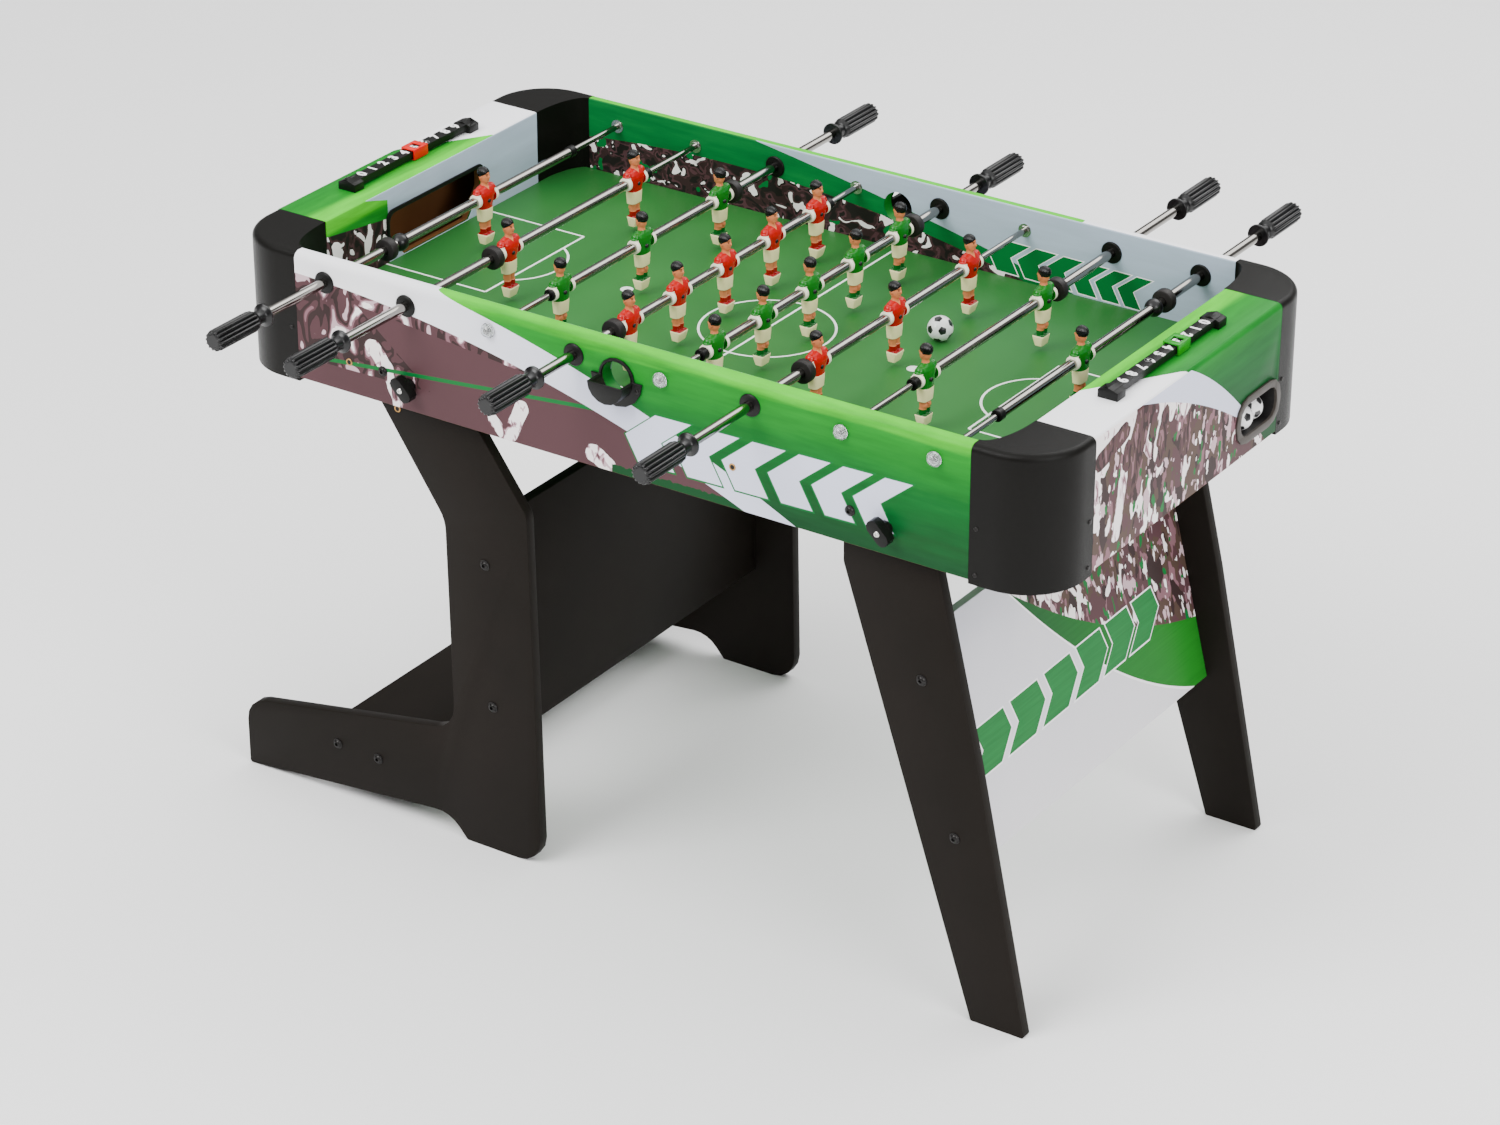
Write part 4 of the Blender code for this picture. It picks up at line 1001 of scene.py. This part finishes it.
def tubes(man):
    for index, (team, count, spot) in enumerate(zip(teams, menCounts, rodSpots)):
        k = index + 1
        side = -1 if team == "red" else 1
        low, high, _ = span(f"rod_{k}_tube_and_men")
        handleLow, handleHigh, _ = span(f"rod_{k}_handle")
        openEnd = high.y if side < 0 else low.y
        hidden = handleHigh.y - 0.005 if side < 0 else handleLow.y + 0.005
        r = tube["radius"]
        profile = [(0, hidden), (r, hidden), (r, openEnd + side * tube["roundEnd"]), (r - 0.0010, openEnd),
                   (0.0050, openEnd), (0.0050, openEnd + side * 0.02), (0, openEnd + side * 0.02)]
        piece(f"rod{k}Tube", turned(profile, 32, (spot.x, 0, rodHeight)), chrome, f"rod_{k}",
              [f"rod_{k}_tube_and_men"])
        plug = [(0.0044, openEnd - side * 0.0012), (tube["plug"] - 0.0008, openEnd - side * 0.0012),
                (tube["plug"], openEnd - side * 0.0004), (tube["plug"], openEnd + side * tube["plugLength"]),
                (tube["radius"] + 0.0001, openEnd + side * (tube["plugLength"] + 0.0006)),
                (0.0044, openEnd + side * 0.004)]
        piece(f"rod{k}Plug", turned(plug, 28, (spot.x, 0, rodHeight)), blackPlastic, f"rod_{k}")
        base = bpy.data.objects.new(f"rod{k}MenBase", bpy.data.meshes.new("menBase"))
        bpy.context.scene.collection.objects.link(base)
        middleY = joints[f"rod_{k}_spin"]["pos_m"][1] - centre.y
        first = (spot.x, middleY - (count - 1) / 2 * menPitch[count], rodHeight)
        men = grown(f"rod{k}Men", base, menOnRod, {
            "Figure": man, "Finish": shirtPaint[team], "Count": count, "First": first,
            "Step": (0.0, menPitch[count], 0.0), "Turn": (0.0, 0.0, 0.0 if team == "red" else math.pi)})
        piece(f"rod{k}Men", men, shirtPaint[team], f"rod_{k}", sharp=60)
        a, b, _ = span(f"rod_{k}_inner_rod")
        rod = [(0, a.y), (0.0034, a.y), (0.004, a.y + 0.0006), (0.004, b.y - 0.0006), (0.0034, b.y), (0, b.y)]
        piece(f"rod{k}InnerRod", turned(rod, 24, (spot.x, 0, rodHeight)), chrome, "cabinet",
              [f"rod_{k}_inner_rod"])


def handles():
    for index, (team, spot) in enumerate(zip(teams, rodSpots)):
        k = index + 1
        side = -1 if team == "red" else 1
        low, high, _ = span(f"rod_{k}_handle")
        mouth = high.y if side < 0 else low.y
        length = high.y - low.y
        bm = bmesh.new()
        ribs, points = grip["ribs"], grip["ribs"] * 6
        # along the grip from the mouth: place, radius, how deep the flutes are
        sections = [(0, 0.0132, 0), (0, grip["flange"] - 0.0006, 0), (0.0006, grip["flange"], 0),
                    (0.0026, grip["flange"], 0), (0.0036, grip["flange"] - 0.0012, 0), (0.0050, 0.0102, 0),
                    (0.0080, grip["neck"], 0), (0.0185, grip["neck"] + 0.0002, 0), (0.0200, 0.0112, 0),
                    (0.0225, 0.0118, 0), (0.0240, grip["radius"] - 0.0006, 0.3), (0.0262, grip["radius"], 1),
                    (0.060, grip["radius"], 1), (length - 0.0060, grip["radius"], 1),
                    (length - 0.0022, grip["radius"] - 0.0012, 0.9), (length - 0.0010, 0.0100, 0),
                    (length - 0.0010, 0.0092, 0), (length, 0.0086, 0), (length, 0.0040, 0)]
        rings = []
        for along, radius, flute in sections:
            ring = []
            for i in range(points):
                a = 2 * math.pi * i / points
                dip = 0.5 - 0.5 * math.cos(ribs * a)
                r = radius - grip["depth"] * flute * dip ** 1.6
                ring.append((spot.x + r * math.cos(a), mouth + side * along, rodHeight + r * math.sin(a)))
            rings.append(ring)
        loft(bm, rings)
        piece(f"rod{k}Handle", bm, gripRubber, f"rod_{k}", [f"rod_{k}_handle"], sharp=50)


def bumpers():
    for index, (team, count, spot) in enumerate(zip(teams, menCounts, rodSpots)):
        k = index + 1
        side = -1 if team == "red" else 1
        low, high, _ = span(f"rod_{k}_bumper")
        r, soft, bore = ringShape["radius"], ringShape["round"], ringShape["bore"]

        def ringProfile(start, end):
            return [(bore, start), (r - soft, start), (r - soft * 0.3, start + soft * 0.3), (r, start + soft),
                    (r, end - soft), (r - soft * 0.3, end - soft * 0.3), (r - soft, end), (bore, end)]

        if count > 1:
            profile = ringProfile(low.y, high.y)
        else:
            outer = low.y if side < 0 else high.y
            ringEnd = outer - side * ringShape["length"]
            ballAt = outer - side * ringShape["ballBack"]
            profile = ringProfile(*sorted((outer, ringEnd)))
            sphere = []
            for i in range(13):
                a = math.pi * (0.20 + 0.62 * i / 12)
                sphere.append((ringShape["ball"] * math.sin(a),
                               ballAt + side * ringShape["ball"] * math.cos(a)))
            sphere = [(bore, sphere[0][1])] + sphere + [(bore, sphere[-1][1])]
            piece(f"rod{k}StopBall", turned(sphere, 40, (spot.x, 0, rodHeight)), gripRubber,
                  f"rod_{k}_slider")
        piece(f"rod{k}Bumper", turned(profile, 40, (spot.x, 0, rodHeight)), rubber, f"rod_{k}_slider",
              [f"rod_{k}_bumper"])


bush = {"flange": 0.0146, "thick": 0.0022, "bore": 0.0066}


def bushings():
    bore, wide, thick = bush["bore"], bush["flange"], bush["thick"]
    outerFlange = madeObject("bushFlange", turned([
        (bore, -0.004), (0.0080, -0.004), (0.0080, 0), (wide, 0), (wide, thick * 0.5), (wide - 0.0012, thick),
        (0.0098, thick), (0.0090, thick + 0.0003), (bore, thick + 0.0003)], 40, axis="Z"))
    spots = []
    nuts = []
    domes = []
    for spot, team in zip(rodSpots, teams):
        side = -1 if team == "red" else 1
        spots.append(((spot.x, side * (halfWidth + 0.0001), rodHeight), (0, side, 0)))
        spots.append(((spot.x, side * (innerY - 0.0001), rodHeight), (0, -side, 0)))
        nuts.append(((spot.x, -side * (innerY - 0.0001), rodHeight), (0, side, 0)))
        nuts.append(((spot.x, -side * (halfWidth + 0.0001), rodHeight), (0, -side, 0)))
        domes.append(((spot.x, -side * (halfWidth + 0.0019), rodHeight), (0, -side, 0)))
    fastened("bushings", outerFlange, spots, blackPlastic, "cabinet")
    dropped(outerFlange)
    nut = turned([(0.0042, 0), (0.0092, 0), (0.0092, 0.0009), (0.0042, 0.0009)], 32, axis="Z")
    slab(arc(0, 0, 0.0064, 6, 0, 2 * math.pi), 0.0009, 0.0025, "Z", nut)
    nut = madeObject("nut", nut)
    fastened("rodNuts", nut, nuts, zinc, "cabinet")
    dropped(nut)
    # a clear dome with a wall: up the inside from the top, then over the outside
    quarter = [math.pi / 2 * i / 8 for i in range(9)]
    inside = [(0.0078 * math.sin(a), 0.0016 + 0.0067 * math.cos(a)) for a in quarter[1:]]
    outside = [(0.0084 * math.cos(a), 0.0018 + 0.0072 * math.sin(a)) for a in quarter[:-1]]
    dome = [(0, 0.0083), *inside, (0.0078, 0.0), (0.0098, 0.0), (0.0098, 0.0012), *outside, (0, 0.0090)]
    shell = madeObject("dome", turned(dome, 28, axis="Z"))
    fastened("clearCaps", shell, domes, clearPlastic, "cabinet")
    dropped(shell)


bolts = {"stand": ((-0.2237, 0.4172), (-0.2177, 0.2139), (-0.4787, 0.0775), (-0.4109, 0.0758)),
         "strut": ((0.4249, 0.4509), (0.4759, 0.2498)), "boardInserts": ((-0.4143, 0.6575), (0.1669, 0.6699)),
         "standInsert": (-0.355, 0.601)}
screws = {"capIn": 0.009, "capHeights": (0.008, 0.068), "entryAside": 0.031, "entryDown": 0.010}


def fasteners():
    pivotL, pivotR = (joints[f"{end}_leg_fold"]["pos_m"] for end in ("left", "right"))
    pivotL, pivotR = Vector(pivotL) - centre, Vector(pivotR) - centre
    dome = turned([(0, -0.001), (0.0074, -0.001), (0.0074, 0.0002), (0.0071, 0.0009), (0.0058, 0.0009),
                   (0.0056, 0.0012), (0.0050, 0.0026), (0.0036, 0.0035), (0.0026, 0.0037), (0.0024, 0.0015),
                   (0, 0.0015)], 32, axis="Z")
    bolt = madeObject("bolt", dome)
    legY = span("far_stand_board")[1].y
    cabinetSpots, leftSpots, rightSpots = [], [], []
    for side in (-1, 1):
        for pivot in (pivotL, pivotR):
            cabinetSpots.append(((pivot.x, side * (halfWidth + 0.0002), pivot.z), (0, side, 0)))
        for x, z in bolts["stand"]:
            leftSpots.append(((x, side * (legY + 0.0002), z), (0, side, 0)))
        for x, z in bolts["strut"]:
            rightSpots.append(((x, side * (legY + 0.0002), z), (0, side, 0)))
    blackSteel = plastic("blackSteel", rgb(30, 28, 27), 0.3, 400.0, 0.1, Metallic=0.6)
    fastened("pivotBolts", bolt, cabinetSpots, blackSteel, "cabinet", 0.95)
    fastened("standBolts", bolt, leftSpots, blackSteel, "left_leg", 1.0)
    fastened("strutBolts", bolt, rightSpots, blackSteel, "right_leg", 1.0)
    dropped(bolt)
    # brass inserts: a ring, with a near-black disc inside as painted shade in the hole
    sleeve = [(0.0031, -0.003), (0.0048, -0.003), (0.0048, 0.0003), (0.0044, 0.0006), (0.0031, 0.0004)]
    ring = madeObject("insert", turned(sleeve, 24, axis="Z"))
    thread = [(0, -0.0020), (0.0032, -0.0020), (0.0032, -0.0012), (0, -0.0012)]
    hole = madeObject("thread", turned(thread, 20, axis="Z"))
    inserts = [((x, side * (halfWidth + 0.0001), z), (0, side, 0)) for side in (-1, 1)
               for x, z in bolts["boardInserts"]]
    legX, legZ = bolts["standInsert"]
    legInserts = [((legX, side * (legY + 0.0001), legZ), (0, side, 0)) for side in (-1, 1)]
    for body, spots, name in (("cabinet", inserts, "board"), ("left_leg", legInserts, "stand")):
        fastened(f"{name}Inserts", ring, spots, brass, body)
        lifted = [((x, y + math.copysign(0.0016, y), z), way) for (x, y, z), way in spots]
        fastened(f"{name}InsertHoles", hole, lifted, paintedHoleShade, body)
    dropped(ring)
    dropped(hole)
    # small cross-head screws on caps and entries, and one on each lock knob
    head = turned([(0, -0.0006), (0.0029, -0.0006), (0.0029, 0.0004), (0.0022, 0.0012), (0, 0.0014)], 20,
                  axis="Z")
    bars = [slab([(-a, -b), (a, -b), (a, b), (-a, b)], 0.0006, 0.003, "Z")
            for a, b in ((0.0016, 0.00025), (0.00025, 0.0016))]
    screw = madeObject("screw", combined(head, "DIFFERENCE", *bars))
    spots = []
    for sx in (-1, 1):
        for sy in (-1, 1):
            for up in screws["capHeights"]:
                z, inset = tableBottom + up, screws["capIn"]
                spots.append(((sx * (boardX + inset), sy * (halfWidth + 0.0001), z), (0, sy, 0)))
                spots.append(((sx * (halfLength + 0.0001), sy * (boxY + inset), z), (sx, 0, 0)))
    for side, row in ((-1, "near"), (1, "far")):
        mid = span(f"{row}_ball_entry")[2]
        for aside in (-screws["entryAside"], screws["entryAside"]):
            place = (mid.x + aside, side * (halfWidth + 0.0034), entryHeight - screws["entryDown"])
            spots.append((place, (0, side, 0)))
    fastened("capScrews", screw, spots, blackSteel, "cabinet")
    for row in ("near", "far"):
        for end in ("left", "right"):
            side = -1 if row == "near" else 1
            low, high, mid = span(f"{row}_{end}_lock_knob")
            tip = low.y if side < 0 else high.y
            spot = ((mid.x, tip + side * 0.0002, mid.z), (0, side, 0))
            fastened(f"{row}{end.title()}KnobScrew", screw, [spot], zinc, f"{row}_{end}_lock_knob_body",
                     1.35)
    dropped(screw)


edges = {"knob": 0.0018, "legBoard": 0.0007, "legPanel": 0.0005}


def lockKnobs():
    for row in ("near", "far"):
        for end in ("left", "right"):
            shape = bevelled(fromCad(f"{row}_{end}_lock_knob"), edges["knob"], 3)
            piece(f"{row}{end.title()}Knob", shape, blackPlastic, f"{row}_{end}_lock_knob_body",
                  [f"{row}_{end}_lock_knob"])


def legs():
    for node, rideOn in (("near_stand_board", "left_leg"), ("far_stand_board", "left_leg"),
                         ("stand_back_panel", "left_leg"), ("stand_foot_shelf", "left_leg"),
                         ("near_strut_board", "right_leg"), ("far_strut_board", "right_leg")):
        words = node.split("_")
        name = words[0] + "".join(word.title() for word in words[1:])
        piece(name, bevelled(fromCad(node), edges["legBoard"], 2), boards, rideOn, [node])
    panel = bevelled(fromCad("strut_print_panel"), edges["legPanel"], 1)
    piece("strutPrintPanel", panel, legPanelPrint(), "right_leg", ["strut_print_panel"])


sideBoards()
endBoxes()
goalTrims()
cornerCaps()
playField()
ballEntries()
ballReturns()
footballs()
scoreBars()
print("cabinet done")
man = figure()
print("figure:", len(man.data.polygons), "faces")
tubes(man)
dropped(man)
handles()
bumpers()
bushings()
print("rods done")
fasteners()
lockKnobs()
legs()
print("legs done")


lights = {"key": ((-1.2, -3.0, 3.6), 2.4, 170), "fill": ((3.4, -1.2, 2.2), 2.0, 85),
          "back": ((0.4, 2.8, 3.4), 2.6, 85), "sky": 2.1}


def studio():
    floor = bmesh.new()
    bmesh.ops.create_grid(floor, x_segments=1, y_segments=1, size=14)
    floor = madeObject("floor", floor)
    paint = Paint("paleFloor", Roughness=0.7)
    tone = paint.noise(paint.place()[0], 0.6)
    floor.data.materials.append(paint.feed(Base_Color=paint.ramp(tone, (0.3, rgb(250, 250, 250)),
                                                                 (0.7, rgb(253, 253, 253)))))
    world = bpy.data.worlds.new("studio")
    bpy.context.scene.world = world
    world.use_nodes = True
    nodes, links = world.node_tree.nodes, world.node_tree.links
    height = nodes.new("ShaderNodeSeparateXYZ")
    links.new(nodes.new("ShaderNodeTexCoord").outputs["Generated"], height.inputs[0])
    sky = nodes.new("ShaderNodeValToRGB")
    for at, value in ((0.46, 0.16), (0.76, 1.0)):
        sky.color_ramp.elements.new(at).color = (value, value, value, 1.0)
    sky.color_ramp.elements[0].color = (0.12, 0.12, 0.12, 1.0)
    sky.color_ramp.elements[-1].color = (1.0, 1.0, 1.0, 1.0)
    links.new(height.outputs["Z"], sky.inputs[0])
    links.new(sky.outputs[0], nodes["Background"].inputs["Color"])
    nodes["Background"].inputs["Strength"].default_value = lights["sky"]
    for name in ("key", "fill", "back"):
        place, size, power = lights[name]
        lamp = bpy.data.lights.new(name, "AREA")
        lamp.size = size
        lamp.energy = power
        obj = bpy.data.objects.new(name, lamp)
        obj.location = place
        obj.rotation_euler = (Vector((0, 0, 0.6)) - Vector(place)).to_track_quat("-Z", "Y").to_euler()
        bpy.context.scene.collection.objects.link(obj)


camera = {"place": (2.846, -4.268, 3.009), "azimuth": 33.94, "elevation": 27.36, "lens": 107.1}


def photographer():
    data = bpy.data.cameras.new("camera")
    data.lens = camera["lens"]
    data.sensor_width = 36
    data.clip_end = 100
    obj = bpy.data.objects.new("camera", data)
    obj.location = Vector(camera["place"]) + centre
    obj.rotation_euler = (math.radians(90 - camera["elevation"]), 0, math.radians(camera["azimuth"]))
    bpy.context.scene.collection.objects.link(obj)
    bpy.context.scene.camera = obj


studio()
photographer()
